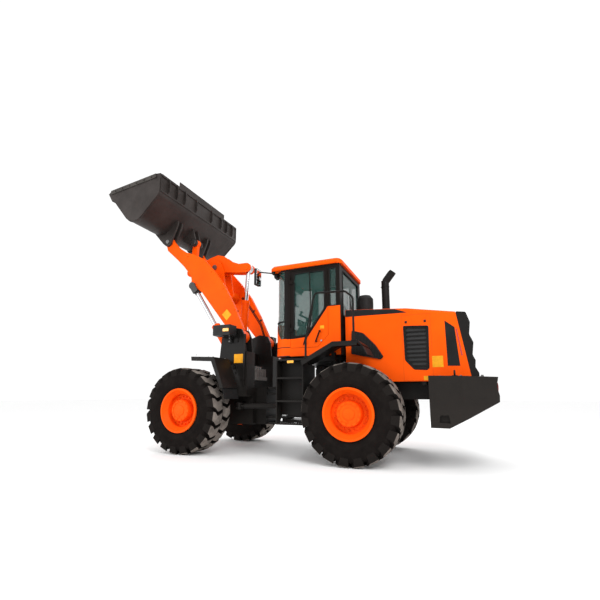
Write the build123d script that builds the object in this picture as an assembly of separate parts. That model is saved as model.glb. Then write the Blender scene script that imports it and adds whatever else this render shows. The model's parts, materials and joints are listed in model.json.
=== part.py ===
from build123d import *
import math
import os

# An articulated wheel loader in millimetres: +X forward, +Y left, +Z up.
# The origin is on the ground, under the vertical hinge between the two half frames.

# Fits and clearances
pin_fit = 0.4
running_gap = 6.0
seat_gap = 0.3

# Wheels and axles
tyre_radius = 788.0
tyre_width = 596.0
tyre_shoulder = 62.0
tyre_facets = 24
lug_pairs = 20
lug_height = 40.0
lug_sink = 26.0
lug_crown = 2.5
lug_edge = 10.0
lug_middle = 4.0
lug_root = 34.0
lug_foot = 62.0
lug_skew = 14.0
tyre_bead_radius = 372.0
wheelbase = 3200.0
track = 2160.0
rim_flange_radius = 402.0
rim_seat_radius = 330.0
rim_wall = 26.0
rim_flange_width = 34.0
rim_disc_inset = 150.0
rim_disc_thickness = 34.0
hub_radius = 208.0
hub_height = 120.0
axle_tube_radius = 140.0
axle_bulge_radius = 255.0
axle_bulge_half_width = 270.0
axle_flange_radius = 190.0
axle_end_gap = 12.0
spindle_radius = 70.0
spindle_reach = 70.0
axle_nose_radius = 105.0
axle_nose_length = 430.0
front_x = wheelbase / 2
rear_x = -wheelbase / 2
hub_z = tyre_radius
wheel_y = track / 2

# Hinge between the half frames
hinge_pin_radius = 48.0
hinge_boss_radius = 120.0
hinge_plate = 42.0
hinge_ear = 56.0
hinge_low_z = 580.0
hinge_high_z = 1150.0
neck_half_width = 300.0
neck_end_x = 560.0
ear_end_x = 480.0

# Front half frame
frame_plate = 40.0
tower_inner_y = 400.0
tower_outer_y = 660.0
boom_pivot = (790.0, 2220.0)
lift_base = (830.0, 1600.0)
tilt_base = (1113.0, 2100.0)
front_rail_z = hub_z + axle_tube_radius + 8.0
front_end_x = 1850.0
tower_rear_x = 560.0
head_lamp_place = (780.0, 2200.0)
head_lamp_size = (380.0, 200.0)
head_lamp_outer_y = 1000.0
beam_top_z = 1960.0
beam_bottom_z = 1720.0
beam_front_x = 1185.0
beam_rear_x = 930.0

# Boom, measured along its line from the pivot and square to it
boom_length = 3028.0
boom_angle = 49.42
arm_thickness = 70.0
arm_mid_y = 550.0
arm_boss_radius = 128.0
arm_tip_radius = 112.0
boss_width = 200.0
pin_radius = 45.0
lift_eye = (1700.0, -165.0)
lift_lug_radius = 92.0
rocker_pivot = (1933.0, 352.0)
cross_tube = (1420.0, 62.0)
cross_tube_radius = 138.0
ear_thickness = 38.0
rocker_ear_y = 132.0

# Rocker, link and tilt cylinder
rocker_half_width = 112.0
rocker_cheek = 46.0
rocker_rear_arm = (-794.0, -78.0)
rocker_front_arm = (720.0, -2.0)
rocker_eye_radius = 102.0
rocker_hub_radius = 150.0
link_half_width = 52.0
link_eye_radius = 94.0
tilt_barrel_radius = 84.0
tilt_rod_radius = 45.0
tilt_barrel_length = 1010.0
tilt_rod_length = 900.0
tilt_eye_radius = 92.0

# Lift cylinders
lift_barrel_radius = 84.0
lift_rod_radius = 45.0
lift_barrel_length = 1062.0
lift_rod_length = 1167.0
lift_eye_radius = 90.0
cylinder_wall = 20.0
gland_length = 70.0
gland_inset = 25.0
piston_length = 36.0
gland_lip = 7.0
fork_cheek = 42.0
fork_slot = 90.0
fork_depth = 160.0
yoke_radius = 64.0

# Steering cylinders
steer_base = (760.0, 620.0)
steer_eye = (-330.0, 400.0)
steer_z = 860.0
steer_barrel_radius = 50.0
steer_rod_radius = 25.0
steer_barrel_length = 735.0
steer_rod_length = 715.0
steer_wall = 14.0
steer_eye_radius = 44.0
steer_eye_height = 56.0
steer_pin_radius = 24.0
steer_lug = 30.0

# Bucket, measured along its floor and square to it from the hinge pin
bucket_pitch = 50.0
bucket_half_width = 1440.0
bucket_plate = 22.0
bucket_side_plate = 26.0
bucket_floor = -140.0
bucket_floor_front = 1283.0
bucket_back = 178.0
bucket_heel_radius = 320.0
bucket_knee = (228.0, 800.0)
bucket_knee_radius = 150.0
bucket_top = (560.0, 1085.0)
bucket_link_pin = (-87.0, 319.0)
pin_cap_radius = 72.0
pin_cap_inner = 4.0
pin_cap_outer = 32.0
bucket_ear = 44.0
rib_places = (300.0, 700.0, 960.0, 1220.0)
rib_thickness = 18.0
rib_height = 58.0
rib_start = 72.0
edge_length = 240.0
edge_thickness = 40.0
edge_overhang = 115.0
side_cutter_width = 90.0
side_cutter_thickness = 16.0
spill_half_width = 860.0
spill_height = 120.0

# Rear half frame
rail_y = 380.0
rail_top = 1280.0
rail_bottom = 1000.0
rail_front_bottom = 550.0
rear_end_x = -3145.0
trunnion_x = 360.0
trunnion_plate = 60.0
outrigger_half_width = 600.0
outrigger_xs = (-1480.0, -2660.0)
outrigger_size = 60.0
engine_size = (1080.0, 640.0, 700.0)
engine_x = -2480.0
engine_bearer = 50.0
bearer_size = 80.0

# Hood
hood_half_width = 620.0
hood_wall = 26.0
hood_front_x = -1385.0
hood_front_z = 2570.0
hood_mid = (-2420.0, 2512.0)
hood_rear_top = (-3184.0, 2390.0)
hood_rear_x = -3352.0
hood_bottom = rail_top + 10.0
hood_step_x = -2740.0
hood_edge_radius = 46.0
grille_bars = 12
grille_slats = 9
grille_slat = 20.0

# Counterweight
cw_half_width = 1200.0
cw_front_x = -2765.0
cw_rear_x = -3705.0
cw_top = 1352.0
cw_bottom = 612.0
cw_tail_half_width = 900.0
cw_corner_x = -3250.0
cw_slot_half_width = rail_y + frame_plate + 4.0
cw_slot_floor = rail_bottom - 40.0
tow_pin_radius = 26.0
tow_slot_height = 110.0
tow_slot_depth = 190.0
tow_slot_half_width = 120.0
tow_x = -3575.0
tow_z = 1055.0
tow_seat_z = 1300.0
tow_seat_radius = 50.0
tie_down = (1130.0, 300.0)
tie_down_radius = 25.0

# Stacks
exhaust_x = -1985.0
exhaust_y = -100.0
exhaust_radius = 73.0
exhaust_pipe_radius = 58.0
exhaust_top = 3225.0
exhaust_drum_bottom = 2590.0
exhaust_bore = 64.0
stack_hole_gap = 10.0
cleaner_x = -1610.0
cleaner_radius = 150.0
cleaner_stem_radius = 70.0
cleaner_top = 2940.0
cleaner_head_height = 290.0
cleaner_stem_length = 250.0
cleaner_dome = 60.0

# Cab
cab_half_width = 750.0
cab_wall = 40.0
cab_front_x = -20.0
cab_rear_x = -1330.0
cab_bottom = 1760.0
cab_floor_thickness = 46.0
cab_roof_bottom = 3412.0
cab_roof_top = 3508.0
roof_half_width = 790.0
roof_front_x = 60.0
roof_rear_x = -1372.0
roof_corner = 130.0
cab_corner_radius = 250.0
cab_corner_x = -300.0
cowl_top = 2410.0
corner_sill = 2085.0
corner_start_y = 500.0
glass_thickness = 12.0
door_front_x = -384.0
door_rear_x = -1104.0
door_sill = 1915.0
door_heel = (-905.0, 2118.0)
door_head = 3360.0
door_window = ((-452.0, 2118.0), (-700.0, 2140.0), (-1040.0, 2600.0), (-1040.0, 3305.0), (-452.0, 3305.0))
door_gap = 6.0
door_pin_radius = 12.0
door_pin_offset = 17.0
door_hinge_heights = (2250.0, 3150.0)
hinge_barrel = 70.0
quarter_front_x = -1150.0
quarter_rear_x = -1262.0
quarter_low = 2640.0
quarter_high = 3330.0
side_window_low = 2380.0
rear_window_half_width = 560.0
rear_window_low = 2460.0
rear_window_high = 3320.0
pedestal_size = 130.0
pedestal_xs = (-560.0, -1180.0)
seat_x = -850.0
steering_wheel_radius = 205.0
mirror_size = (40.0, 190.0, 330.0)
mirror_place = (230.0, 940.0, 3270.0)
lamp_size = (58.0, 150.0, 90.0)
lamp_gap = 14.0
roof_lamp_y = 480.0

# Steps, rails and fenders
step_front_x = -290.0
step_rear_x = -790.0
step_outer_y = 1150.0
step_inner_y = 930.0
step_heights = (580.0, 955.0, 1340.0)
step_plate = 26.0
platform_top = 1680.0
tank_front_x = -410.0
tank_rear_x = -752.0
tank_bottom = 690.0
tank_top = 1600.0
handrail_radius = 17.0
handrail_y = 1320.0
fender_inner_y = 800.0
fender_outer_y = 1300.0
rear_fender_outer_y = 1345.0
fender_plate = 18.0
rear_fender_inner_y = 762.0


def boom_point(along, off):
    """A point on the boom's side view, from its line and the distance square to it."""
    c = math.cos(math.radians(boom_angle))
    s = math.sin(math.radians(boom_angle))
    return (boom_pivot[0] + c * along - s * off, boom_pivot[1] + s * along + c * off)


def bucket_point(along, off):
    """A point on the bucket's side view, along its floor and square to it."""
    c = math.cos(math.radians(bucket_pitch))
    s = math.sin(math.radians(bucket_pitch))
    x, z = boom_point(boom_length, 0)
    return (x + c * along - s * off, z + s * along + c * off)


def shifted(point, step):
    return (point[0] + step[0], point[1] + step[1])


def span(a, b):
    return math.dist(a, b)


def flat(points, y, radii=0):
    """A closed face in the plane at that y, from points (x, z) and corner radii."""
    path = FilletPolyline(*[(x, y, z) for x, z in points], radius=radii, close=True)
    return make_face(path)


def plate(points, y0, y1, radii=0):
    return extrude(flat(points, y0, radii), amount=y1 - y0, dir=(0, 1, 0))


def slab(points, z0, z1, radii=0):
    path = FilletPolyline(*[(x, y, z0) for x, y in points], radius=radii, close=True)
    return extrude(make_face(path), amount=z1 - z0, dir=(0, 0, 1))


def wall(points, x0, x1, radii=0):
    path = FilletPolyline(*[(x0, y, z) for y, z in points], radius=radii, close=True)
    return extrude(make_face(path), amount=x1 - x0, dir=(1, 0, 0))


def block(x0, x1, y0, y1, z0, z1):
    size = (abs(x1 - x0), abs(y1 - y0), abs(z1 - z0))
    return Pos((x0 + x1) / 2, (y0 + y1) / 2, (z0 + z1) / 2) * Box(*size)


def pin(point, radius, y0, y1):
    """A cylinder across the machine."""
    return Pos(point[0], (y0 + y1) / 2, point[1]) * Rot(90, 0, 0) * Cylinder(radius, abs(y1 - y0))


def post(x, y, radius, z0, z1):
    return Pos(x, y, (z0 + z1) / 2) * Cylinder(radius, z1 - z0)


def bar(start, end, radius):
    """A round bar between two points."""
    a = Vector(*start)
    b = Vector(*end)
    middle = Plane(origin=a, z_dir=b - a)
    return middle * (Pos(0, 0, (b - a).length / 2) * Cylinder(radius, (b - a).length))


def bent_tube(points, radius, bend):
    path = FilletPolyline(*points, radius=bend)
    start = Plane(origin=path @ 0, z_dir=path % 0)
    return sweep(start * Circle(radius), path=path)


def turned(profile, centre):
    """A solid turned about a line across the machine, from (radius, y) points."""
    face = make_face(Polyline(*[(centre[0] + r, y, centre[1]) for r, y in profile], close=True))
    return revolve(face, Axis((centre[0], 0, centre[1]), (0, 1, 0)))


def other_side(shape):
    return mirror(shape, about=Plane.XZ)


def both_sides(shape):
    return [shape, other_side(shape)]


def joined(shapes):
    first = shapes[0]
    for shape in shapes[1:]:
        first = first + shape
    return first


# Wheels
def ring_point(centre, radius, y, angle):
    return Vector(centre[0] + radius * math.cos(angle), y, centre[1] + radius * math.sin(angle))


def facet_ring(profile, centre, count):
    """A ring of flat facets about a line across the machine, from (radius, y) points."""
    faces = []
    step = 2 * math.pi / count
    for i in range(count):
        a0 = i * step
        a1 = a0 + step
        for (r0, y0), (r1, y1) in zip(profile, profile[1:] + profile[:1]):
            corners = [ring_point(centre, r0, y0, a0), ring_point(centre, r1, y1, a0)]
            corners += [ring_point(centre, r1, y1, a1), ring_point(centre, r0, y0, a1)]
            faces.append(Face(Wire.make_polygon(corners, close=True)))
    return Solid(Shell(faces))


def tread_lug(x, side, hand, angle):
    """One slanting bar of the tread, from near the middle out over the shoulder."""
    edge = tyre_width / 2 - lug_edge
    out = (math.cos(angle), 0, math.sin(angle))
    level = Plane(origin=(x, side * wheel_y, hub_z), x_dir=(math.sin(angle), 0, -math.cos(angle)), z_dir=out)
    foot = [(-lug_root + lug_skew, lug_middle), (lug_root - 6 + lug_skew, lug_middle)]
    foot += [(lug_foot + lug_skew, edge), (-lug_foot + 10 + lug_skew, edge)]
    corners = [level.from_local_coords(Vector(t, hand * y, tyre_radius - lug_crown)) for t, y in foot]
    face = Face(Wire.make_polygon(corners, close=True))
    return extrude(face, amount=-(lug_height + lug_sink), dir=out)


def tyre(x, side):
    half = tyre_width / 2
    tread = half - tyre_shoulder
    base = tyre_radius - lug_height
    bead_y = half - 40.0
    grow = 1 / math.cos(math.pi / tyre_facets)
    profile = [
        (tyre_bead_radius * grow, -bead_y),
        ((rim_flange_radius + 6.0) * grow, -bead_y),
        ((tyre_bead_radius + 110.0) * grow, -half),
        (base - 50.0, -half + 6.0),
        (base, -tread),
        (base, tread),
        (base - 50.0, half - 6.0),
        ((tyre_bead_radius + 110.0) * grow, half),
        ((rim_flange_radius + 6.0) * grow, bead_y),
        (tyre_bead_radius * grow, bead_y),
    ]
    placed = [(r, side * wheel_y + y) for r, y in profile]
    carcass = facet_ring(placed, (x, hub_z), tyre_facets)
    lugs = []
    step = 2 * math.pi / lug_pairs
    for i in range(lug_pairs):
        lugs.append(tread_lug(x, side, 1, step * (i + 0.5)))
        lugs.append(tread_lug(x, side, -1, step * i))
    return carcass.fuse(*lugs)


def rim(x, side):
    """Barrel, outer flange, disc and hub cap, with the dish facing outward."""
    half = tyre_width / 2 - 40.0
    seat = tyre_bead_radius - seat_gap
    inner = rim_seat_radius - rim_wall
    disc = half - rim_disc_inset
    bore = spindle_radius + pin_fit
    profile = [
        (0.0, disc + spindle_reach + 4.0),
        (bore, disc + spindle_reach + 4.0),
        (bore, disc - rim_disc_thickness),
        (inner, disc - rim_disc_thickness),
        (inner, -half - rim_flange_width),
        (rim_flange_radius, -half - rim_flange_width),
        (rim_flange_radius, -half - seat_gap),
        (seat, -half - seat_gap),
        (seat, half + seat_gap),
        (rim_flange_radius, half + seat_gap),
        (rim_flange_radius, half + rim_flange_width),
        (rim_flange_radius - 30.0, half + rim_flange_width),
        (inner, half - 60.0),
        (inner, disc),
        (hub_radius, disc),
        (hub_radius - 18.0, disc + hub_height),
        (0.0, disc + hub_height),
    ]
    placed = [(r, side * (wheel_y + y)) for r, y in profile]
    return turned(placed, (x, hub_z))


def axle(x, pad_top):
    """Housing with a round middle, two tubes and the flanges inside the wheels."""
    half = tyre_width / 2 - 40.0
    end = wheel_y + half - rim_disc_inset - rim_disc_thickness - axle_end_gap
    tip = wheel_y + half - rim_disc_inset + spindle_reach
    shoulder = wheel_y - half + 120.0
    profile = [
        (0.0, 0.0),
        (axle_bulge_radius, 0.0),
        (axle_bulge_radius - 30.0, axle_bulge_half_width * 0.55),
        (axle_tube_radius, axle_bulge_half_width),
        (axle_tube_radius - 22.0, shoulder),
        (axle_flange_radius, shoulder + 30.0),
        (axle_flange_radius, end),
        (spindle_radius, end),
        (spindle_radius, tip),
        (0.0, tip),
    ]
    side = turned(profile, (x, hub_z))
    reach = 0.0 if pad_top else axle_nose_length
    nose = bar((x - axle_nose_length, 0, hub_z), (x + reach, 0, hub_z), axle_nose_radius)
    shapes = [side, other_side(side), nose]
    if pad_top:
        pad = block(x - 120, x + 120, tower_inner_y - 50, tower_inner_y + 90, hub_z, pad_top)
        shapes += both_sides(pad)
    return joined(shapes)


# Hinge between the half frames
def hinge_slab(sign, z0, z1, end_x, end_half_width):
    """A flat hinge plate with a round nose about the pin."""
    r = hinge_boss_radius
    points = [(0, -r), (sign * end_x, -end_half_width), (sign * end_x, end_half_width), (0, r)]
    nose = post(0, 0, r, z0, z1)
    return slab(points, z0, z1) + nose


def fork_levels(z):
    """Lower and upper plate of the front fork about an ear at that height."""
    reach = hinge_ear / 2 + running_gap
    return [(z - reach - hinge_plate, z - reach), (z + reach, z + reach + hinge_plate)]


def rear_hinge():
    shapes = []
    for z in (hinge_low_z, hinge_high_z):
        shapes.append(hinge_slab(-1, z - hinge_ear / 2, z + hinge_ear / 2, ear_end_x, rail_y))
        low, high = fork_levels(z)
        shapes.append(post(0, 0, hinge_pin_radius, low[0] - 14, high[1] + 14))
    return shapes


def front_hinge():
    shapes = []
    for z in (hinge_low_z, hinge_high_z):
        for low, high in fork_levels(z):
            shapes.append(hinge_slab(1, low, high, neck_end_x, neck_half_width))
    return shapes


def hinge_bores():
    low = fork_levels(hinge_low_z)[0][0]
    high = fork_levels(hinge_high_z)[1][1]
    return post(0, 0, hinge_pin_radius + pin_fit, low, high)


# Front half frame
def tower_outline():
    return [
        (tower_rear_x, 1040.0),
        (1180.0, 1040.0),
        (1200.0, 1700.0),
        (1140.0, 2310.0),
        (900.0, 2392.0),
        (700.0, 2350.0),
        (630.0, 2200.0),
        (tower_rear_x, 1500.0),
    ]


def rail_outline():
    low = fork_levels(hinge_low_z)[0][0]
    return [
        (neck_end_x, low),
        (1240.0, low + 40.0),
        (1360.0, front_rail_z),
        (front_end_x, front_rail_z),
        (front_end_x, front_rail_z + 90.0),
        (1420.0, 1120.0),
        (1180.0, 1180.0),
        (tower_rear_x, 1180.0),
    ]


def front_frame():
    inner = tower_inner_y
    outer = tower_outer_y
    thick = frame_plate
    low = fork_levels(hinge_low_z)[0][0]
    high = fork_levels(hinge_high_z)[1][1]
    side = [
        plate(rail_outline(), inner, inner + thick),
        plate(tower_outline(), inner, inner + thick, 30),
        plate(tower_outline(), outer, outer + thick, 30),
        block(tower_rear_x, tower_rear_x + thick, inner, outer + thick, 1040, 1900),
        block(tower_rear_x, 1180, inner, outer + thick, 1040, 1040 + thick),
        pin(boom_pivot, pin_radius + 14, inner, outer + thick + 16),
        pin(lift_base, pin_radius, inner, outer + thick + 16),
        block(neck_end_x, neck_end_x + thick, 0, inner + thick, low, high),
        block(340, neck_end_x, neck_half_width - thick, neck_half_width, low, high),
        block(340, 340 + thick, 0, neck_half_width, low, high),
        block(neck_end_x, 1240, 0, inner + thick, low, low + thick),
        block(neck_end_x, 1180, 0, inner + thick, 1140, 1180),
        block(beam_rear_x, beam_front_x, 0, inner + thick, beam_bottom_z, beam_top_z),
        block(front_end_x - thick, front_end_x, 0, inner + thick, front_rail_z, front_rail_z + 90),
    ]
    steer_x, steer_y = steer_base
    for z in steer_lug_levels():
        arm = block(steer_x - 70, steer_x + 70, inner, steer_y, *z)
        side.append(arm + post(steer_x, steer_y, 62, *z))
    pin_low = steer_lug_levels()[0][0]
    pin_high = steer_lug_levels()[1][1]
    side.append(post(steer_x, steer_y, steer_pin_radius, pin_low - 8, pin_high + 8))
    x, z = tilt_base
    ear = plate([(x - 110, beam_top_z - 30), (x + 70, beam_top_z - 30), (x + 80, z), (x - 80, z)],
                link_half_width + 14, link_half_width + 14 + ear_thickness)
    ear = ear + pin(tilt_base, 80, link_half_width + 14, link_half_width + 14 + ear_thickness)
    side.append(ear)
    half = joined(side)
    body = half + other_side(half)
    body = joined([body] + front_hinge())
    body = body - pin(tilt_base, pin_radius + pin_fit, -200, 200)
    for y in (-tie_down[1], tie_down[1]):
        body = body - post(tie_down[0], y, tie_down_radius, low - 10, low + thick + 10)
    return body - hinge_bores()


def steer_lug_levels():
    reach = steer_eye_height / 2 + pin_fit * 5
    return [(steer_z - reach - steer_lug, steer_z - reach), (steer_z + reach, steer_z + reach + steer_lug)]


def lock_bar():
    """Safety strut stowed upright on the outside of a tower."""
    y = tower_outer_y + frame_plate
    strut = block(592, 632, y, y + 34, 1350, 2240)
    return both_sides(strut)


def front_fender():
    y0 = fender_inner_y
    outline = [(700, 1190), (920, 1735), (1410, 1760), (1408, 1760 + fender_plate)]
    outline += [(906, 1735 + fender_plate), (700 - fender_plate, 1196)]
    sheet = plate(outline, y0, fender_outer_y)
    skirt = plate([(700, 1190), (920, 1735), (1410, 1760), (1400, 1700), (960, 1675), (744, 1180)],
                  fender_outer_y - fender_plate, fender_outer_y)
    bracket = block(885, 945, tower_outer_y + frame_plate, y0 + 40, 1650, 1700)
    tail = block(890, 940, y0, y0 + 40, 1680, 1738)
    return joined([sheet, skirt, bracket, tail])


def head_lamp():
    """Lamp box on an arm from the tower's outer plate."""
    y = tower_outer_y + frame_plate
    x, z = head_lamp_place
    dx, dz = head_lamp_size
    arm = block(x + 120, x + 190, y, y + 60, z - 120, z + 70)
    case = block(x, x + dx, y + 60, head_lamp_outer_y, z, z + dz)
    lens = Pos(x + dx + 10, (y + 60 + head_lamp_outer_y) / 2, z + 0.5 * dz) * Rot(0, 90, 0) * Cylinder(55, 20)
    marker = block(x + 10, x + 150, head_lamp_outer_y, head_lamp_outer_y + 12, z + 60, z + 130)
    return joined([arm, case, lens, marker])


# Boom
def arm_outline():
    tip = boom_length
    lug = lift_eye[0]
    elbow = rocker_pivot[0]
    return [boom_point(*p) for p in (
        (-60.0, 60.0),
        (90.0, 150.0),
        (600.0, 290.0),
        (1100.0, 392.0),
        (elbow - 373.0, 415.0),
        (elbow + 47.0, 400.0),
        (tip - 768.0, 290.0),
        (tip - 548.0, 170.0),
        (tip - 308.0, 108.0),
        (tip - 18.0, 100.0),
        (tip - 18.0, -100.0),
        (tip - 128.0, -146.0),
        (tip - 528.0, -90.0),
        (tip - 798.0, -64.0),
        (lug + 235.0, -64.0),
        (lug + 130.0, -120.0),
        (lug + 80.0, -200.0),
        (lug - 80.0, -200.0),
        (lug - 140.0, -120.0),
        (lug - 270.0, -92.0),
        (500.0, -118.0),
        (60.0, -118.0),
        (-60.0, -60.0),
    )]


def boom_arm():
    half = arm_thickness / 2
    y0 = arm_mid_y - half
    y1 = arm_mid_y + half
    tip = boom_point(boom_length, 0)
    lug = boom_point(*lift_eye)
    web = plate(arm_outline(), y0, y1)
    rear = pin(boom_pivot, arm_boss_radius, arm_mid_y - boss_width / 2, arm_mid_y + boss_width / 2)
    front = pin(tip, arm_tip_radius, y0, y1)
    eye = pin(lug, lift_lug_radius, y0, y1)
    arm = joined([web, rear, front, eye])
    arm = arm - pin(boom_pivot, pin_radius + 14 + pin_fit, y0 - 200, y1 + 200)
    return arm - pin(tip, pin_radius + pin_fit, y0 - 10, y1 + 10)


def boom_crossmember():
    """Tube between the arms with two ears that carry the rocker's pin."""
    inner = arm_mid_y - arm_thickness / 2
    centre = boom_point(*cross_tube)
    tube = pin(centre, cross_tube_radius, -inner, inner)
    outline = [boom_point(*p) for p in (
        (1230.0, -30.0),
        (1240.0, 190.0),
        (1480.0, 330.0),
        (1740.0, 486.0),
        (1933.0, 540.0),
        (2110.0, 480.0),
        (2160.0, 340.0),
        (2060.0, 180.0),
        (1700.0, -10.0),
        (1500.0, -70.0),
    )]
    ear = plate(outline, rocker_ear_y, rocker_ear_y + ear_thickness)
    body = joined([tube] + both_sides(ear))
    hole = pin(boom_point(*rocker_pivot), pin_radius + pin_fit, -400, 400)
    return body - hole


# Rocker, link and tilt cylinder
def rocker():
    """Boomerang of two cheeks about a hub, open at both ends for the eyes."""
    p = boom_point(*rocker_pivot)
    rear = shifted(p, rocker_rear_arm)
    front = shifted(p, rocker_front_arm)
    outline = [shifted(p, d) for d in (
        (-794.0, 26.0),
        (-600.0, 30.0),
        (-390.0, 118.0),
        (-215.0, 258.0),
        (-40.0, 312.0),
        (170.0, 268.0),
        (480.0, 150.0),
        (720.0, 100.0),
        (720.0, -102.0),
        (330.0, -120.0),
        (0.0, -160.0),
        (-260.0, -120.0),
        (-600.0, -170.0),
        (-794.0, -182.0),
    )]
    inner = rocker_half_width - rocker_cheek
    cheek = plate(outline, inner, rocker_half_width)
    for eye in (rear, front):
        cheek = cheek + pin(eye, rocker_eye_radius, inner, rocker_half_width)
        cheek = cheek + pin(eye, pin_radius + 12, rocker_half_width, rocker_half_width + 10)
    hub = pin(p, rocker_hub_radius, -inner, inner)
    web = plate([shifted(p, d) for d in ((-330, 60), (-120, 250), (60, 250), (320, 120), (0, -60))],
                -inner, inner)
    body = joined([cheek, other_side(cheek), hub, web])
    return body - pin(p, pin_radius + pin_fit, -300, 300)


def rocker_pin():
    reach = rocker_ear_y + ear_thickness
    p = boom_point(*rocker_pivot)
    body = pin(p, pin_radius, -reach - 12, reach + 12)
    caps = [pin(p, pin_radius + 18, reach + 2, reach + 14)]
    return joined([body] + caps + [other_side(c) for c in caps])


def link_ends():
    rear = shifted(boom_point(*rocker_pivot), rocker_front_arm)
    return rear, bucket_point(*bucket_link_pin)


def link():
    rear, front = link_ends()
    body = joined([
        pin(rear, link_eye_radius, -link_half_width, link_half_width),
        pin(front, link_eye_radius, -link_half_width, link_half_width),
        link_web(rear, front),
    ])
    return body - pin(front, pin_radius + pin_fit, -200, 200)


def link_web(a, b):
    """Blade between two eyes, narrower than the eyes."""
    dx = (b[0] - a[0]) / span(a, b)
    dz = (b[1] - a[1]) / span(a, b)
    half = link_eye_radius * 0.72
    points = [
        (a[0] - dz * half, a[1] + dx * half),
        (b[0] - dz * half, b[1] + dx * half),
        (b[0] + dz * half, b[1] - dx * half),
        (a[0] + dz * half, a[1] - dx * half),
    ]
    return plate(points, -link_half_width + 8, link_half_width - 8)


def link_pin():
    """Pin with a round cap welded on each end, outside the bucket's ears."""
    reach = link_half_width + 14 + bucket_ear
    centre = bucket_point(*bucket_link_pin)
    stem = pin(centre, pin_radius, -reach - pin_cap_outer, reach + pin_cap_outer)
    cap = pin(centre, pin_cap_radius, reach + pin_cap_inner, reach + pin_cap_outer)
    return joined([stem, cap, other_side(cap)])


def tilt_pin():
    reach = link_half_width + 14 + ear_thickness
    return pin(tilt_base, pin_radius, -reach - 10, reach + 10)


def cylinder_barrel(start, end, length, radius, rod_radius, eye_radius, eye_half, y, neck):
    """Barrel with a base eye at start, pointing to end, bored for its piston."""
    a = Vector(start[0], y, start[1])
    b = Vector(end[0], y, end[1])
    along = (b - a).normalized()
    first = eye_radius + 6.0
    tube = bar(a + along * neck, a + along * length, radius)
    gland = bar(a + along * (length - gland_length), a + along * length, radius + gland_lip)
    cap = bar(a + along * neck, a + along * (neck + 60), radius + gland_lip)
    root = (start[0] + along.X * (neck + 4), start[1] + along.Z * (neck + 4))
    eye = pin(start, eye_radius, y - eye_half, y + eye_half)
    eye = eye + cheek_plate(start, root, eye_radius - 14, y - eye_half, y + eye_half)
    first = max(first, neck + 16)
    bore = bar(a + along * first, a + along * (length - gland_inset), radius - cylinder_wall)
    throat = bar(a + along * first, a + along * (length + 5), rod_radius + pin_fit)
    return joined([tube, gland, cap, eye]) - bore - throat


def cylinder_rod(start, end, length, radius, piston_radius, y):
    """Rod from its eye back into the barrel, with a piston at its inner end."""
    a = Vector(start[0], y, start[1])
    b = Vector(end[0], y, end[1])
    along = (a - b).normalized()
    shaft = bar(b + along * 60, b + along * length, radius)
    piston = bar(b + along * (length - piston_length), b + along * length, piston_radius)
    return shaft + piston


def tilt_barrel():
    rear = shifted(boom_point(*rocker_pivot), rocker_rear_arm)
    body = cylinder_barrel(tilt_base, rear, tilt_barrel_length, tilt_barrel_radius,
                           tilt_rod_radius, tilt_eye_radius, link_half_width, 0.0, 98.0)
    return body - pin(tilt_base, pin_radius + pin_fit, -200, 200)


def tilt_rod():
    rear = shifted(boom_point(*rocker_pivot), rocker_rear_arm)
    piston = tilt_barrel_radius - cylinder_wall - pin_fit
    shaft = cylinder_rod(tilt_base, rear, tilt_rod_length, tilt_rod_radius, piston, 0.0)
    return shaft + pin(rear, tilt_eye_radius, -link_half_width, link_half_width)


def lift_barrel():
    eye = boom_point(*lift_eye)
    body = cylinder_barrel(lift_base, eye, lift_barrel_length, lift_barrel_radius,
                           lift_rod_radius, lift_eye_radius, boss_width / 2, arm_mid_y, 54.0)
    return body - pin(lift_base, pin_radius + pin_fit, arm_mid_y - 200, arm_mid_y + 200)


def lift_rod():
    """Rod with a fork whose cheeks stand on both sides of the arm's lug."""
    eye = boom_point(*lift_eye)
    piston = lift_barrel_radius - cylinder_wall - pin_fit
    a = Vector(lift_base[0], arm_mid_y, lift_base[1])
    b = Vector(eye[0], arm_mid_y, eye[1])
    along = (a - b).normalized()
    shaft = bar(b + along * fork_depth, b + along * lift_rod_length, lift_rod_radius)
    head = bar(b + along * (lift_rod_length - piston_length), b + along * lift_rod_length, piston)
    yoke = bar(b + along * fork_depth, b + along * (fork_depth + 44), yoke_radius)
    shapes = [shaft, head, yoke]
    for y in (arm_mid_y - fork_slot / 2 - fork_cheek, arm_mid_y + fork_slot / 2):
        shapes.append(pin(eye, lift_eye_radius - 14, y, y + fork_cheek))
        low = (eye[0] + along.X * (fork_depth + 22), eye[1] + along.Z * (fork_depth + 22))
        shapes.append(cheek_plate(eye, low, lift_eye_radius - 26, y, y + fork_cheek))
    return joined(shapes)


def cheek_plate(a, b, half, y0, y1):
    dx = (b[0] - a[0]) / span(a, b)
    dz = (b[1] - a[1]) / span(a, b)
    points = [
        (a[0] - dz * half, a[1] + dx * half),
        (b[0] - dz * half, b[1] + dx * half),
        (b[0] + dz * half, b[1] - dx * half),
        (a[0] + dz * half, a[1] - dx * half),
    ]
    return plate(points, y0, y1)


# Steering cylinders
def steer_frame():
    a = Vector(steer_base[0], steer_base[1], steer_z)
    b = Vector(steer_eye[0], steer_eye[1], steer_z)
    return a, b, (b - a).normalized()


def steer_barrel():
    a, b, along = steer_frame()
    r = steer_barrel_radius
    half = steer_eye_height / 2
    eye = post(a.X, a.Y, steer_eye_radius + 4, steer_z - half, steer_z + half)
    tube = bar(a + along * 110, a + along * steer_barrel_length, r)
    neck = bar(a + along * 30, a + along * 116, half - 2)
    bore = bar(a + along * 122, a + along * (steer_barrel_length - 25), r - steer_wall)
    throat = bar(a + along * 122, a + along * (steer_barrel_length + 5), steer_rod_radius + pin_fit)
    hole = post(a.X, a.Y, steer_pin_radius + pin_fit, steer_z - 200, steer_z + 200)
    return eye + tube + neck - bore - throat - hole


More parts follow.
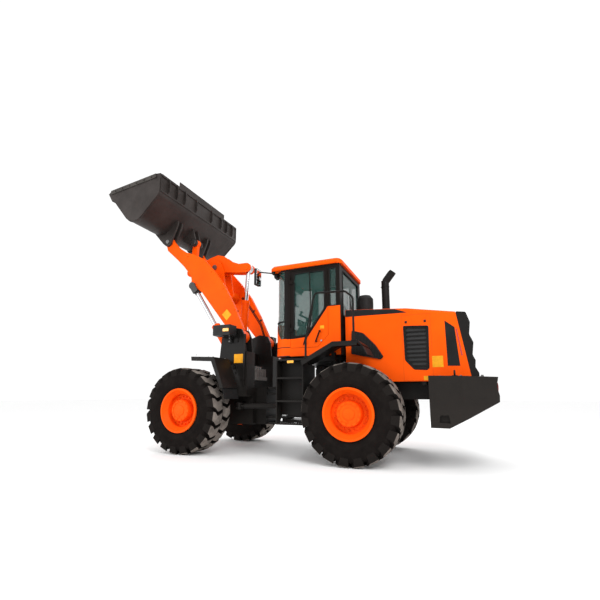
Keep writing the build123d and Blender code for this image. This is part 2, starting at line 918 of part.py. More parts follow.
def steer_rod():
    a, b, along = steer_frame()
    half = steer_eye_height / 2
    back = along * -1
    eye = post(b.X, b.Y, steer_eye_radius, steer_z - half, steer_z + half)
    shaft = bar(b + back * 30, b + back * steer_rod_length, steer_rod_radius)
    piston = bar(b + back * (steer_rod_length - 40), b + back * steer_rod_length,
                 steer_barrel_radius - steer_wall - pin_fit)
    return joined([eye, shaft, piston])


# Bucket
def offset_path(points, distance):
    """The same open path moved sideways by that distance, with mitred corners."""
    moved = []
    for i, here in enumerate(points):
        normals = []
        if i > 0:
            normals.append(normal_of(points[i - 1], here))
        if i < len(points) - 1:
            normals.append(normal_of(here, points[i + 1]))
        nx = sum(n[0] for n in normals)
        nz = sum(n[1] for n in normals)
        scale = distance * len(normals) / (nx * nx + nz * nz)
        moved.append((here[0] + nx * scale, here[1] + nz * scale))
    return moved


def normal_of(a, b):
    length = span(a, b)
    return ((b[1] - a[1]) / length, (a[0] - b[0]) / length)


def shell_path():
    return [
        (bucket_floor_front, bucket_floor),
        (bucket_back, bucket_floor),
        bucket_knee,
        bucket_top,
    ]


def shell_section():
    """Closed outline of the rolled plate: outer face, then inner face back."""
    outer = shell_path()
    inner = offset_path(outer, bucket_plate)
    points = outer + inner[::-1]
    heel = bucket_heel_radius
    knee = bucket_knee_radius
    radii = [0, heel, knee, 0, 0, knee - bucket_plate, heel - bucket_plate, 0]
    return [bucket_point(*p) for p in points], radii


def bucket_inside(half_width):
    """The space that the bucket holds, out past its mouth."""
    inner = offset_path(shell_path(), bucket_plate)
    reach = [(bucket_top[0] + 500, bucket_top[1] + 500), (bucket_floor_front + 500, bucket_floor + 500)]
    points = inner + reach
    radii = [0, bucket_heel_radius - bucket_plate, bucket_knee_radius - bucket_plate, 0, 0, 0]
    return plate([bucket_point(*p) for p in points], -half_width, half_width, radii)


def side_outline():
    return [bucket_point(*p) for p in (
        (bucket_floor_front + edge_overhang - 20, bucket_floor),
        (bucket_back, bucket_floor),
        bucket_knee,
        bucket_top,
        (bucket_top[0] + 80, bucket_top[1] - 80),
        (bucket_floor_front + edge_overhang - 20, bucket_floor + 90),
    )]


def bucket_shell():
    section, radii = shell_section()
    shell = plate(section, -bucket_half_width, bucket_half_width, radii)
    cheeks = plate(side_outline(), bucket_half_width, bucket_half_width + bucket_side_plate,
                   [0, bucket_heel_radius, bucket_knee_radius, 0, 0, 0])
    inside = bucket_inside(bucket_half_width)
    hinge = boom_point(boom_length, 0)
    ears = []
    arm_half = arm_thickness / 2 + running_gap + 4
    for y in (arm_mid_y - arm_half - bucket_ear, arm_mid_y + arm_half):
        ears.append(hinge_ear_plate(y, y + bucket_ear))
    y = link_half_width + 14
    ears.append(link_ear_plate(y, y + bucket_ear))
    half = joined(ears) - inside
    ribs = [back_rib(hand * y) for y in rib_places for hand in (1, -1)]
    body = joined([shell, cheeks, other_side(cheeks), half, other_side(half), spill_guard()] + ribs)
    body = body - pin(hinge, pin_radius + pin_fit, -900, 900)
    return body - pin(bucket_point(*bucket_link_pin), pin_radius + pin_fit, -300, 300)


def hinge_ear_plate(y0, y1):
    outline = [bucket_point(*p) for p in (
        (-30.0, -100.0),
        (60.0, -118.0),
        (420.0, bucket_floor + 6),
        (420.0, 60.0),
        (230.0, 420.0),
        (180.0, 500.0),
        (120.0, 440.0),
        (-70.0, 80.0),
    )]
    return plate(outline, y0, y1) + pin(boom_point(boom_length, 0), 104, y0, y1)


def link_ear_plate(y0, y1):
    x, z = bucket_link_pin
    outline = [bucket_point(*p) for p in (
        (x - 20, z - 92),
        (bucket_back + 60, z - 210),
        (bucket_back + 120, z + 240),
        (x + 40, z + 84),
        (x - 40, z + 84),
    )]
    return plate(outline, y0, y1) + pin(bucket_point(x, z), 96, y0, y1)


def back_rib(y):
    """Low gusset on the outside of the upper back, square to the plate."""
    x, z = bucket_knee
    dx = bucket_top[0] - x
    dz = bucket_top[1] - z
    length = math.hypot(dx, dz)
    ux, uz = dx / length, dz / length
    sink = bucket_plate / 3
    ends = [(rib_start, -sink), (length - 12, -sink), (length - 12, rib_height * 0.4)]
    ends += [(length - 110, rib_height), (rib_start + 70, rib_height), (rib_start, 4)]
    points = [bucket_point(x + ux * s - uz * n, z + uz * s + ux * n) for s, n in ends]
    return plate(points, y - rib_thickness / 2, y + rib_thickness / 2)


def spill_guard():
    """Raised plate in the middle of the top edge, in line with the upper back."""
    x, z = bucket_top
    dx = bucket_top[0] - bucket_knee[0]
    dz = bucket_top[1] - bucket_knee[1]
    length = math.hypot(dx, dz)
    rise = (dx / length * spill_height, dz / length * spill_height)
    side = (dz / length * bucket_plate, -dx / length * bucket_plate)
    points = [(x, z), (x + rise[0], z + rise[1])]
    points += [(x + rise[0] + side[0], z + rise[1] + side[1]), (x + side[0], z + side[1])]
    return plate([bucket_point(*p) for p in points], -spill_half_width, spill_half_width)


def cutting_edge():
    """Blade under the lip of the floor and a strip on each side plate."""
    tip = bucket_floor_front + edge_overhang
    points = [
        (tip, bucket_floor - 6),
        (tip - edge_length, bucket_floor - edge_thickness),
        (tip - edge_length, bucket_floor),
        (tip - 60, bucket_floor),
    ]
    reach = bucket_half_width + bucket_side_plate
    blade = plate([bucket_point(*p) for p in points], -reach, reach)
    low = (bucket_floor_front + edge_overhang - 20, bucket_floor + 90)
    high = (bucket_top[0] + 80, bucket_top[1] - 80)
    back = normal_of(high, low)
    inset = [(p[0] + back[0] * side_cutter_width, p[1] + back[1] * side_cutter_width) for p in (high, low)]
    strip = plate([bucket_point(*p) for p in (low, high, inset[0], inset[1])],
                  reach, reach + side_cutter_thickness)
    return [blade] + both_sides(strip)


def bucket_pins():
    hinge = boom_point(boom_length, 0)
    reach = arm_thickness / 2 + running_gap + 4 + bucket_ear + 12
    body = pin(hinge, pin_radius, arm_mid_y - reach, arm_mid_y + reach)
    return both_sides(body)


# Rear half frame
def rail_side():
    low = rail_front_bottom
    return [
        (-ear_end_x, low),
        (-ear_end_x, hinge_high_z + hinge_ear / 2),
        (-ear_end_x - 120, rail_top),
        (rear_end_x, rail_top),
        (rear_end_x, rail_bottom),
        (-1150.0, rail_bottom),
        (-900.0, low),
    ]


def rear_frame():
    inner = rail_y
    thick = frame_plate
    high = hinge_high_z + hinge_ear / 2
    side = [
        plate(rail_side(), inner, inner + thick),
        block(-ear_end_x - thick, -ear_end_x, 0, inner + thick, rail_front_bottom, high),
        block(-900, -ear_end_x, 0, inner, rail_front_bottom, rail_front_bottom + thick),
    ]
    for x in outrigger_xs:
        half = outrigger_size / 2
        side.append(block(x - half, x + half, inner, outrigger_half_width, rail_top - 50, hood_bottom))
    for x in bearer_xs():
        half = bearer_size / 2
        side.append(block(x - half, x + half, 0, inner, rail_bottom, rail_bottom + engine_bearer))
    for sign in (-1, 1):
        x = rear_x + sign * trunnion_x
        half = trunnion_plate / 2
        side.append(block(x - half, x + half, 0, inner + thick, hub_z - 150, rail_bottom + 30))
    for x in pedestal_xs:
        half = pedestal_size / 2
        side.append(block(x - half, x + half, inner - 90, inner + thick, rail_top - 60, cab_bottom))
    eye_x, eye_y = steer_eye
    for z in steer_lug_levels():
        arm = block(-ear_end_x - thick, eye_x, eye_y - 46, eye_y + 46, *z)
        side.append(arm + post(eye_x, eye_y, 46, *z))
    half = joined(side)
    body = half + other_side(half)
    body = joined([body] + rear_hinge())
    nose = Pos(rear_x, 0, hub_z) * Rot(0, 90, 0) * Cylinder(axle_nose_radius + pin_fit, 2000)
    return body - (nose & clear_nose())


def clear_nose():
    reach = trunnion_x + trunnion_plate
    return block(rear_x - reach, rear_x + reach, -rail_y, rail_y, hub_z - 200, hub_z + 200)


def bearer_xs():
    reach = engine_size[0] / 2 - 90
    return (engine_x - reach, engine_x + reach)


def engine_block():
    length, width, height = engine_size
    base = rail_bottom + engine_bearer
    return block(engine_x - length / 2, engine_x + length / 2, -width / 2, width / 2, base, base + height)


def tank():
    """Box between the frame and the steps, with its outer face behind the treads."""
    y0 = rail_y + frame_plate
    body = block(tank_rear_x, tank_front_x, y0 + 60, step_inner_y, tank_bottom, tank_top)
    arms = [block(tank_rear_x + 60, tank_front_x - 240, y0, y0 + 60, z, z + 70) for z in (700, 1120)]
    return joined([body] + arms)


# Hood
def hood_outline():
    return [
        (hood_front_x, hood_bottom),
        (hood_front_x, hood_front_z),
        hood_mid,
        hood_rear_top,
        (hood_rear_x, cw_top + 6),
        (hood_step_x, cw_top + 6),
        (hood_step_x, hood_bottom),
    ]


def hood():
    """Hollow cover, open below and at the rear, with holes for the stacks."""
    outer = plate(hood_outline(), -hood_half_width, hood_half_width)
    top_edges = [e for e in outer.edges() if is_top_edge(e)]
    outer = fillet(top_edges, hood_edge_radius)
    w = hood_wall
    inner_points = [
        (hood_front_x - w, hood_bottom - 100),
        (hood_front_x - w, hood_front_z - w - 2),
        (hood_mid[0], hood_mid[1] - w),
        (hood_rear_top[0], hood_rear_top[1] - w),
        (hood_rear_x - 100, hood_rear_top[1] - w - 20),
        (hood_rear_x - 100, hood_bottom - 100),
    ]
    inner = plate(inner_points, -hood_half_width + w, hood_half_width - w)
    body = outer - inner
    body = body - post(exhaust_x, exhaust_y, exhaust_pipe_radius + stack_hole_gap, 2300, 2700)
    body = body - post(cleaner_x, 0, cleaner_stem_radius + stack_hole_gap, 2300, 2700)
    for shape in both_sides(grille_window(hood_half_width - w - 5, hood_half_width + 5, 0)):
        body = body - shape
    return body


def is_top_edge(edge):
    """Long edges along the top of the hood's sides."""
    box = edge.bounding_box()
    along = box.size.X > 150 and box.size.Y < 1
    return along and box.min.Z > hood_rear_top[1] - 60


def grille_outline(margin):
    m = margin
    return [
        (-2382 - m, 2195 - m),
        (-2761 + m, 2175 - m),
        (-2742 + m, 1500 + m),
        (-2717 + m, 1476 + m),
        (-2521 - m * 0.4, 1490 + m),
        (-2391 - m, 1640 + m * 0.4),
    ]


def grille_window(y0, y1, margin):
    return plate(grille_outline(margin), y0, y1)


def side_grille():
    """Louvred panel that fills the window in the hood's side."""
    outer = hood_half_width - 2
    frame = grille_window(outer - hood_wall + 4, outer, 0) - grille_window(outer - 40, outer + 5, 26)
    slats = []
    for i in range(grille_slats):
        z = 1530 + i * 70
        slats.append(block(-2765, -2380, outer - hood_wall + 6, outer - 6, z, z + grille_slat))
    field = grille_window(outer - 40, outer + 5, 10)
    body = frame
    for slat in slats:
        body = body + (slat & field)
    return body


def side_intake():
    """Fin shaped air intake that stands a little out of the hood's side."""
    points = [(-1500, 2182), (-1700, 2126), (-1907, 1907), (-2034, 1704), (-1984, 1662), (-1485, 1771)]
    face = hood_half_width
    lower = plate(points, face, face + 22, [20, 90, 200, 20, 20, 20])
    return lower


def hood_rear_edge(z):
    """Place of the hood's slanting rear edge at that height."""
    low = cw_top + 6
    share = (z - low) / (hood_rear_top[1] - low)
    return hood_rear_x + (hood_rear_top[0] - hood_rear_x) * share


def rear_grille():
    """Deep frame with a wavy rear edge, and bars and a core between its sides."""
    t = seat_gap
    front_top = (hood_rear_edge(hood_rear_top[1] - 4) - t, hood_rear_top[1] - 4)
    front_low = (hood_rear_edge(cw_top + 8) - t, cw_top + 8)
    edge = [(-3334, 2366), (-3387, 2199), (-3364, 2005), (-3416, 1877), (-3391, 1687), (-3428, 1600),
            (-3418, 1496), (-3464, 1407), (-3464, cw_top + 8)]
    outline = [front_low, front_top] + edge
    radii = [0, 20, 30, 40, 60, 40, 60, 30, 30, 20, 0]
    half = hood_half_width - 2
    body = plate(outline, -half, half, radii)
    inner = half - 60
    cut = [(-3184 + 60, 2300), (-3600, 2300), (-3600, 1430), (-3100, 1430)]
    body = body - plate(cut, -inner, inner)
    face = [(-3262, 2310), (-3292, 2310), (-3400, 1425), (-3370, 1425)]
    bars = []
    pitch = 2 * inner / grille_bars
    for i in range(1, grille_bars):
        y = -inner + i * pitch
        bars.append(plate(face, y - 9, y + 9))
    for z in (1650, 1870, 2090):
        x = -3262 - (2310 - z) * 108 / 885
        bars.append(block(x - 24, x - 4, -inner - 4, inner + 4, z - 11, z + 11))
    core = plate([(-3216, 2310), (-3250, 2310), (-3358, 1425), (-3324, 1425)], -inner - 4, inner + 4)
    return joined([body, core] + bars)


# Counterweight
def counterweight():
    side = [
        (cw_front_x, cw_top),
        (cw_rear_x + 15, cw_top - 22),
        (cw_rear_x + 45, 1196.0),
        (cw_rear_x + 13, 1063.0),
        (cw_rear_x + 20, 977.0),
        (-3014.0, cw_bottom),
        (cw_front_x, cw_bottom + 3),
    ]
    body = plate(side, -cw_half_width, cw_half_width)
    plan = [
        (cw_front_x, -cw_half_width),
        (cw_corner_x, -cw_half_width),
        (cw_rear_x - 10, -cw_tail_half_width),
        (cw_rear_x - 10, cw_tail_half_width),
        (cw_corner_x, cw_half_width),
        (cw_front_x, cw_half_width),
    ]
    body = body & slab(plan, cw_bottom - 10, cw_top + 10, [0, 150, 150, 150, 150, 0])
    slot = block(cw_front_x + 10, rear_end_x, -cw_slot_half_width, cw_slot_half_width,
                 cw_slot_floor, cw_top + 20)
    body = body - slot
    for shape in both_sides(lifting_recess()):
        body = body - shape
    tow = block(cw_rear_x - 20, cw_rear_x + tow_slot_depth, -tow_slot_half_width, tow_slot_half_width,
                tow_z - tow_slot_height / 2, tow_z + tow_slot_height / 2)
    seat_face = post(tow_x, 0, tow_seat_radius, tow_seat_z, cw_top + 20)
    for shape in both_sides(tail_lamp()):
        body = body - shape
    return body - tow - seat_face - post(tow_x, 0, tow_pin_radius, 500, cw_top)


def lifting_recess():
    points = [(-2880, 690), (-3030, 682), (-3014, 792), (-2899, 790)]
    return plate(points, cw_half_width - 60, cw_half_width + 20)


def tail_lamp():
    x = cw_rear_x + 16
    return block(x, x + 50, 640, 780, 1130, 1250)


# Stacks
def exhaust_stack():
    base = rail_bottom + engine_bearer + engine_size[2]
    pipe = post(exhaust_x, exhaust_y, exhaust_pipe_radius, base, exhaust_drum_bottom)
    drum = post(exhaust_x, exhaust_y, exhaust_radius, exhaust_drum_bottom, exhaust_top)
    tip = (exhaust_x - 150, exhaust_y, exhaust_top + 170)
    start = (exhaust_x, exhaust_y, exhaust_top - 20)
    spout = bar(start, tip, exhaust_radius)
    bore = bar((start[0] - 30, exhaust_y, start[2] + 34), (tip[0] - 30, exhaust_y, tip[2] + 34), exhaust_bore)
    level = plate([(-2300, 3200), (-2060, 3180), (-1880, 3300), (-2200, 3480)], -400, 400)
    return joined([pipe, drum, spout]) - bore - (block(-2400, -1700, -400, 400, 3100, 3700) - keep_wedge(level))


def keep_wedge(level):
    """The space below the slanting cut across the spout's mouth."""
    return block(-2400, -1700, -400, 400, 3100, 3240) + level


def air_precleaner():
    base = rail_bottom + engine_bearer + engine_size[2]
    foot = cleaner_top - cleaner_head_height - cleaner_stem_length
    stem = post(cleaner_x, 0, cleaner_stem_radius, foot, cleaner_top - cleaner_head_height + 20)
    head = post(cleaner_x, 0, cleaner_radius, cleaner_top - cleaner_head_height, cleaner_top - cleaner_dome)
    bowl = Pos(cleaner_x, 0, cleaner_top - cleaner_dome / 2) * Cone(cleaner_radius, cleaner_radius * 0.7, cleaner_dome)
    reach = engine_x + engine_size[0] / 2
    elbow = block(reach - 200, cleaner_x + 60, -30, 150, base, base + 120)
    drop = block(cleaner_x - 90, cleaner_x + 60, -90, 90, base, foot + 10)
    return joined([stem, head, bowl, elbow, drop])


# Cab
def front_band(z0, z1, thickness, outset):
    """Upright band that wraps the cab's front in plan, with round corners."""
    x = cab_front_x - outset
    y = cab_half_width - outset
    back = cab_corner_x
    points = [(back, -y), (x, -y), (x, y), (back, y)]
    inner = [(back, y - thickness), (x - thickness, y - thickness)]
    inner += [(x - thickness, -y + thickness), (back, -y + thickness)]
    r = cab_corner_radius
    radii = [0, r, r, 0, 0, r - thickness, r - thickness, 0]
    return slab(points + inner, z0, z1, radii)


def cab_floor():
    w = cab_wall
    y = cab_half_width - w
    points = [(cab_rear_x + w, -y), (cab_corner_x, -y), (cab_front_x - w, -y + 220)]
    points += [(cab_front_x - w, y - 220), (cab_corner_x, y), (cab_rear_x + w, y)]
    return slab(points, cab_bottom, cab_bottom + cab_floor_thickness)


def side_wall():
    y1 = cab_half_width
    return block(cab_rear_x, cab_corner_x, y1 - cab_wall, y1, cab_bottom, cab_roof_bottom)


def door_opening(gap, y0, y1):
    g = gap
    points = [
        (door_front_x + g, door_sill - g),
        (door_heel[0] - 0.4 * g, door_sill - g),
        (door_rear_x - g, door_heel[1] - 0.4 * g),
        (door_rear_x - g, door_head + g),
        (door_front_x + g, door_head + g),
    ]
    return plate(points, y0, y1)


def quarter_window(y0, y1, margin):
    m = margin
    return block(quarter_rear_x - m, quarter_front_x + m, y0, y1, quarter_low - m, quarter_high + m)


def cab_left_side():
    y1 = cab_half_width
    body = side_wall() - door_opening(door_gap, y1 - cab_wall - 5, y1 + 5)
    body = body - quarter_window(y1 - cab_wall - 5, y1 + 5, 0)
    for z in door_hinge_heights:
        body = body + hinge_leaf(z + hinge_barrel / 2 + 0.5, z + hinge_barrel + hinge_barrel / 2)
    return body


def hinge_leaf(z0, z1):
    x = door_front_x + door_pin_offset
    y = cab_half_width + door_pin_offset
    leaf = block(x, x + 44, cab_half_width, cab_half_width + 8, z0, z1)
    return leaf + post(x, y, door_pin_radius, z0, z1) + block(x, x + 10, cab_half_width, y, z0, z1)


def cab_right_side():
    y1 = cab_half_width
    body = side_wall() - block(door_rear_x, door_front_x, y1 - cab_wall - 5, y1 + 5,
                               side_window_low, door_head)
    return other_side(body - quarter_window(y1 - cab_wall - 5, y1 + 5, 0))


def cab_front():
    """Lower front panel with the sill of the windscreen."""
    band = front_band(cab_bottom, cowl_top, cab_wall, 0)
    corner = [(cab_corner_x - 10, corner_sill), (-171, corner_sill), (-70, 2230), (-15, cowl_top + 10)]
    corner.append((cab_corner_x - 10, cowl_top + 10))
    for shape in both_sides(plate(corner, corner_start_y, cab_half_width + 10)):
        band = band - shape
    return band


def cab_rear():
    y = cab_half_width - cab_wall
    panel = block(cab_rear_x, cab_rear_x + cab_wall, -y, y, cab_bottom, cab_roof_bottom)
    window = block(cab_rear_x - 5, cab_rear_x + cab_wall + 5, -rear_window_half_width,
                   rear_window_half_width, rear_window_low, rear_window_high)
    return panel - window


def cab_roof():
    y = roof_half_width
    points = [(roof_rear_x, -y), (roof_front_x, -y), (roof_front_x, y), (roof_rear_x, y)]
    top = slab(points, cab_roof_bottom, cab_roof_top, roof_corner)
    upper = top.faces().sort_by(Axis.Z)[-1]
    return chamfer(upper.edges(), 34)


def windshield():
    return front_band(corner_sill, cab_roof_bottom, glass_thickness, 10) - cab_front()


def cab_side_glass():
    y1 = cab_half_width - 14
    y0 = y1 - glass_thickness
    left = quarter_window(y0, y1, 0)
    right = other_side(quarter_window(y0, y1, 0))
    side = other_side(block(door_rear_x, door_front_x, y0, y1, side_window_low, door_head))
    x = cab_rear_x + 14
    rear = block(x, x + glass_thickness, -rear_window_half_width, rear_window_half_width,
                 rear_window_low, rear_window_high)
    return [left, right, side, rear]


def door_panel():
    y1 = cab_half_width - 1
    y0 = y1 - cab_wall + 2
    panel = door_opening(0, y0, y1)
    window = plate(door_window, y0 - 5, y1 + 5, 30)
    return panel - window


def door():
    x = door_front_x + door_pin_offset
    y = cab_half_width + door_pin_offset
    face = cab_half_width - 1
    body = door_panel()
    for z in door_hinge_heights:
        z0 = z - hinge_barrel / 2
        z1 = z + hinge_barrel / 2
        body = body + post(x, y, door_pin_radius, z0, z1)
        body = body + block(x - 70, x, y - 6, y + 6, z0, z1)
        body = body + block(x - 70, x - 30, face, y, z0, z1)
    low = (-885, 2010)
    high = (-955, 2190)
    grip = bar((low[0], face + 36, low[1]), (high[0], face + 36, high[1]), 13)
    for x, z in (low, high):
        grip = grip + bar((x, face, z), (x, face + 44, z), 15)
    rail = door_rail(face)
    body = body + rail
    return body + grip


def door_rail(face):
    """Long upright grab bar in front of the door's glass, on three short studs."""
    y = face + 48
    points = [(-775, 3330), (-798, 2625), (-712, 2160), (-655, 1950)]
    line = bent_tube([(x, y, z) for x, z in points], 10, [300, 300])
    for x, z in ((-775, 3320), (-663, 1980)):
        line = line + bar((x, face - 6, z), (x, y + 10, z), 9)
    return line


def door_glass():
    y1 = cab_half_width - 14
    return plate(door_window, y1 - glass_thickness, y1, 30)


def seat():
    floor = cab_bottom + cab_floor_thickness
    base = block(seat_x - 200, seat_x + 200, -220, 220, floor, floor + 330)
    cushion = block(seat_x - 260, seat_x + 260, -260, 260, floor + 330, floor + 450)
    back = plate([
        (seat_x - 160, floor + 450),
        (seat_x - 260, floor + 450),
        (seat_x - 350, floor + 1050),
        (seat_x - 250, floor + 1050),
    ], -250, 250)
    return joined([base, cushion, back])


def steering_console():
    floor = cab_bottom + cab_floor_thickness
    column = plate([
        (-200, floor),
        (-420, floor),
        (-380, floor + 620),
        (-300, floor + 640),
    ], -110, 110)
    a = (-350, 0, floor + 600)
    b = (-440, 0, floor + 780)
    shaft = bar(a, b, 26)
    hub = Plane(origin=b, z_dir=Vector(*b) - Vector(*a))
    wheel = hub * Torus(steering_wheel_radius, 16)
    spoke = hub * Box(2 * steering_wheel_radius - 10, 30, 12)
    return joined([column, shaft, wheel, spoke])


def mirror_unit():
    """Arm from the roof's front corner and a flat head."""
    x, y, z = mirror_place
    dx, dy, dz = mirror_size
    head = Pos(x, y, z) * Box(dx, dy, dz)
    arm = bent_tube([
        (roof_front_x - 60, roof_half_width - 60, cab_roof_bottom - 30),
        (x - 60, y - 60, cab_roof_bottom - 30),
        (x, y, z + dz / 2 - 20),
    ], 13, 30)
    root = block(roof_front_x - 90, roof_front_x - 40, roof_half_width - 90, roof_half_width - 40,
                 cab_roof_bottom - 48, cab_roof_bottom)
    return joined([head, arm, root])


def roof_lamps():
    """Two work lamps hung under the roof's front edge."""
    dx, dy, dz = lamp_size
    lamp = block(cab_front_x + lamp_gap, cab_front_x + lamp_gap + dx, roof_lamp_y - dy / 2, roof_lamp_y + dy / 2,
                 cab_roof_bottom - dz, cab_roof_bottom)
    return both_sides(lamp)


# Steps, rails and fenders
def steps():
    y0 = step_inner_y
    y1 = step_outer_y
    side = [(y0, platform_top - 30), (y1, platform_top - 30), (y1, step_heights[0]), (y0 + 110, step_heights[0]),
            (y0, tank_bottom + 40)]
    shapes = []
    for x in (step_rear_x, step_front_x - 18):
        shapes.append(wall(side, x, x + 18))
    for z in step_heights:
        shapes.append(block(step_rear_x, step_front_x, y1 - 160, y1, z, z + step_plate))
    shapes.append(block(step_rear_x, step_front_x, y0 + seat_gap, y0 + 16, tank_bottom + 40, platform_top - 30))
    shapes.append(block(step_rear_x, step_front_x, cab_half_width + 12, y1, platform_top - 30, platform_top))
    return joined(shapes)


def handrail():
    y = handrail_y
    return bent_tube([
        (-905, y, rear_fender_height(-905)),
        (-907, y, 1959),
        (-981, y, 2207),
        (-1037, y, 2615),
        (-1074, y, 2731),
        (-1584, y, 2712),
        (-1711, y, 2605),
        (-1712, y, 1890),
    ], handrail_radius, [60, 300, 200, 60, 90, 90])


def rear_fender_height(x):
    """Height of the rear fender's top face on its sloping front part."""
    return 1600 + (x + 830) * (1890 - 1600) / (-1370 + 830) + fender_plate


def rear_fender():
    t = fender_plate
    outline = [
        (-830, 1600),
        (-1370, 1890),
        (-1770, 1885),
        (-1830, 1820),
        (-1845, 1820 + t),
        (-1778, 1885 + t),
        (-1366, 1890 + t),
        (-822, 1600 + t),
    ]
    sheet = plate(outline, rear_fender_inner_y, rear_fender_outer_y)
    lip = plate([(-830, 1600), (-1370, 1890), (-1770, 1885), (-1760, 1830), (-1380, 1832), (-850, 1548)],
                rear_fender_outer_y - t, rear_fender_outer_y)
    arm = block(-1250, -1180, rail_y + frame_plate, 762, 1200, 1260)
    leg = block(-1250, -1180, 702, 762, 1200, 1700)
    tab = block(-1250, -1180, 702, 822, 1640, 1740)
    rise = block(-1250, -1180, rear_fender_inner_y, 822, 1740, 1795)
    return joined([sheet, lip, arm, leg, tab, rise])


def nodes():
    """Every piece by name."""
    made = {}
    for name, x, side in (
        ("front_left", front_x, 1),
        ("front_right", front_x, -1),
        ("rear_left", rear_x, 1),
        ("rear_right", rear_x, -1),
    ):
        made["tyre_" + name] = tyre(x, side)
        made["rim_" + name] = rim(x, side)
    made["front_frame"] = front_frame()
    made["front_axle"] = axle(front_x, front_rail_z)
    made["front_fenders"] = both_sides(front_fender())
    made["head_lamps"] = both_sides(head_lamp())
    made["boom_lock_bars"] = lock_bar()
    made["boom_arm_left"] = boom_arm()
    made["boom_arm_right"] = other_side(boom_arm())
    made["boom_crossmember"] = boom_crossmember()
    made["rocker"] = rocker()
    made["rocker_pin"] = rocker_pin()
    made["link"] = link()
    made["link_pin"] = link_pin()
    made["tilt_pin"] = tilt_pin()
    made["tilt_barrel"] = tilt_barrel()
    made["tilt_rod"] = tilt_rod()
    made["lift_barrel_left"] = lift_barrel()
    made["lift_barrel_right"] = other_side(lift_barrel())
    made["lift_rod_left"] = lift_rod()
    made["lift_rod_right"] = other_side(lift_rod())
    made["steer_barrel_left"] = steer_barrel()
    made["steer_barrel_right"] = other_side(steer_barrel())
    made["steer_rod_left"] = steer_rod()
    made["steer_rod_right"] = other_side(steer_rod())
    made["bucket_shell"] = bucket_shell()
    made["cutting_edge"] = cutting_edge()
    made["bucket_pins"] = bucket_pins()
    made["rear_frame"] = rear_frame()
    made["rear_axle"] = axle(rear_x, 0)
    made["engine_block"] = engine_block()
    made["side_tanks"] = both_sides(tank())
    made["hood"] = hood()
    made["hood_side_grilles"] = both_sides(side_grille()) + both_sides(side_intake())
    made["rear_grille"] = rear_grille()
    made["counterweight"] = counterweight()
    made["tail_lamps"] = both_sides(tail_lamp())
    made["exhaust_stack"] = exhaust_stack()
    made["air_precleaner"] = air_precleaner()
    made["rear_fenders"] = both_sides(rear_fender())
    made["steps"] = both_sides(steps())
    made["handrails"] = both_sides(handrail() - rear_fender())
    made["cab_floor"] = cab_floor()
    made["cab_front"] = cab_front()
    made["cab_sides"] = [cab_left_side(), cab_right_side()]
    made["cab_rear"] = cab_rear()
    made["cab_roof"] = cab_roof()
    made["cab_glass"] = [windshield()] + cab_side_glass()
    made["seat"] = seat()
    made["steering_console"] = steering_console()
    made["mirrors"] = both_sides(mirror_unit())
    made["roof_lamps"] = roof_lamps()
    made["door"] = door()
    made["door_glass"] = door_glass()
    return made


os.makedirs("parts", exist_ok=True)
for name, shape in nodes().items():
    if isinstance(shape, list):
        shape = Compound([s for item in shape for s in item.solids()])
    export_step(shape, f"parts/{name}.step")
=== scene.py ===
import json
import math

import bmesh
import bpy
from mathutils import Matrix, Vector

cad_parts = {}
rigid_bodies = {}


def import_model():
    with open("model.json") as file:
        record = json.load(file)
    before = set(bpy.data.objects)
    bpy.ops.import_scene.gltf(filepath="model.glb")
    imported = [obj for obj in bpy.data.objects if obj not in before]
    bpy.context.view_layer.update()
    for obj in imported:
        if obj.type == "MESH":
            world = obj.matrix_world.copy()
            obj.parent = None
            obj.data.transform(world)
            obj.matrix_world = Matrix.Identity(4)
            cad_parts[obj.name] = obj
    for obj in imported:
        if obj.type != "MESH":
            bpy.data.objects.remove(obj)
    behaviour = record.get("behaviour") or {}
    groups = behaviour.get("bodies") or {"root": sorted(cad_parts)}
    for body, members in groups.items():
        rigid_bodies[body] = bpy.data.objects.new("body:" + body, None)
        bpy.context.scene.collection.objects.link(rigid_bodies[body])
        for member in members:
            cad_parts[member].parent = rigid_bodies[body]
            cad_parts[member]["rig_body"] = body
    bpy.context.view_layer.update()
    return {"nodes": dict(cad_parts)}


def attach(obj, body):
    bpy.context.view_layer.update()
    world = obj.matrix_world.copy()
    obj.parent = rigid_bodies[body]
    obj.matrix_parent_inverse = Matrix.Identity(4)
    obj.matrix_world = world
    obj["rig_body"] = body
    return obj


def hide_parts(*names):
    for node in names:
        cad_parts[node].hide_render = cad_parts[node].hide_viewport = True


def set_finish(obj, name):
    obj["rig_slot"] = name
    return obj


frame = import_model()
nodes = frame["nodes"]

# Camera at the photograph's place
eye = Vector((-3.18436, 6.98711, 1.09706))
yaw = 0.404092
pitch = 0.165750
forward = Vector((math.sin(yaw) * math.cos(pitch), -math.cos(yaw) * math.cos(pitch), math.sin(pitch)))
right = Vector((-math.cos(yaw), -math.sin(yaw), 0.0))
up = right.cross(forward)
camera_data = bpy.data.cameras.new("photo_camera")
camera = bpy.data.objects.new("photo_camera", camera_data)
bpy.context.scene.collection.objects.link(camera)
camera_data.sensor_width = 36.0
camera_data.lens = 22.606
camera_data.shift_x = 0.00426
camera_data.shift_y = 0.05067
camera_data.clip_end = 200.0
turn = Matrix((right, up, -forward)).transposed()
camera.matrix_world = Matrix.Translation(eye) @ turn.to_4x4()
bpy.context.scene.camera = camera
bpy.context.scene.view_settings.view_transform = "Standard"

# Orange, black and the other colours, as linear values
ORANGE = (0.92, 0.098, 0.0015)
ORANGE_DEEP = (0.80, 0.075, 0.0012)
BLACK = (0.006, 0.0055, 0.005)
GREY_BLACK = (0.009, 0.008, 0.0075)
BUCKET = (0.024, 0.019, 0.017)
RUBBER = (0.0075, 0.006, 0.0055)
DUST = (0.30, 0.25, 0.21)
# Wheel centres, from the vertical hinge and from the ground
WHEEL_X = 1.6
WHEEL_Z = 0.788
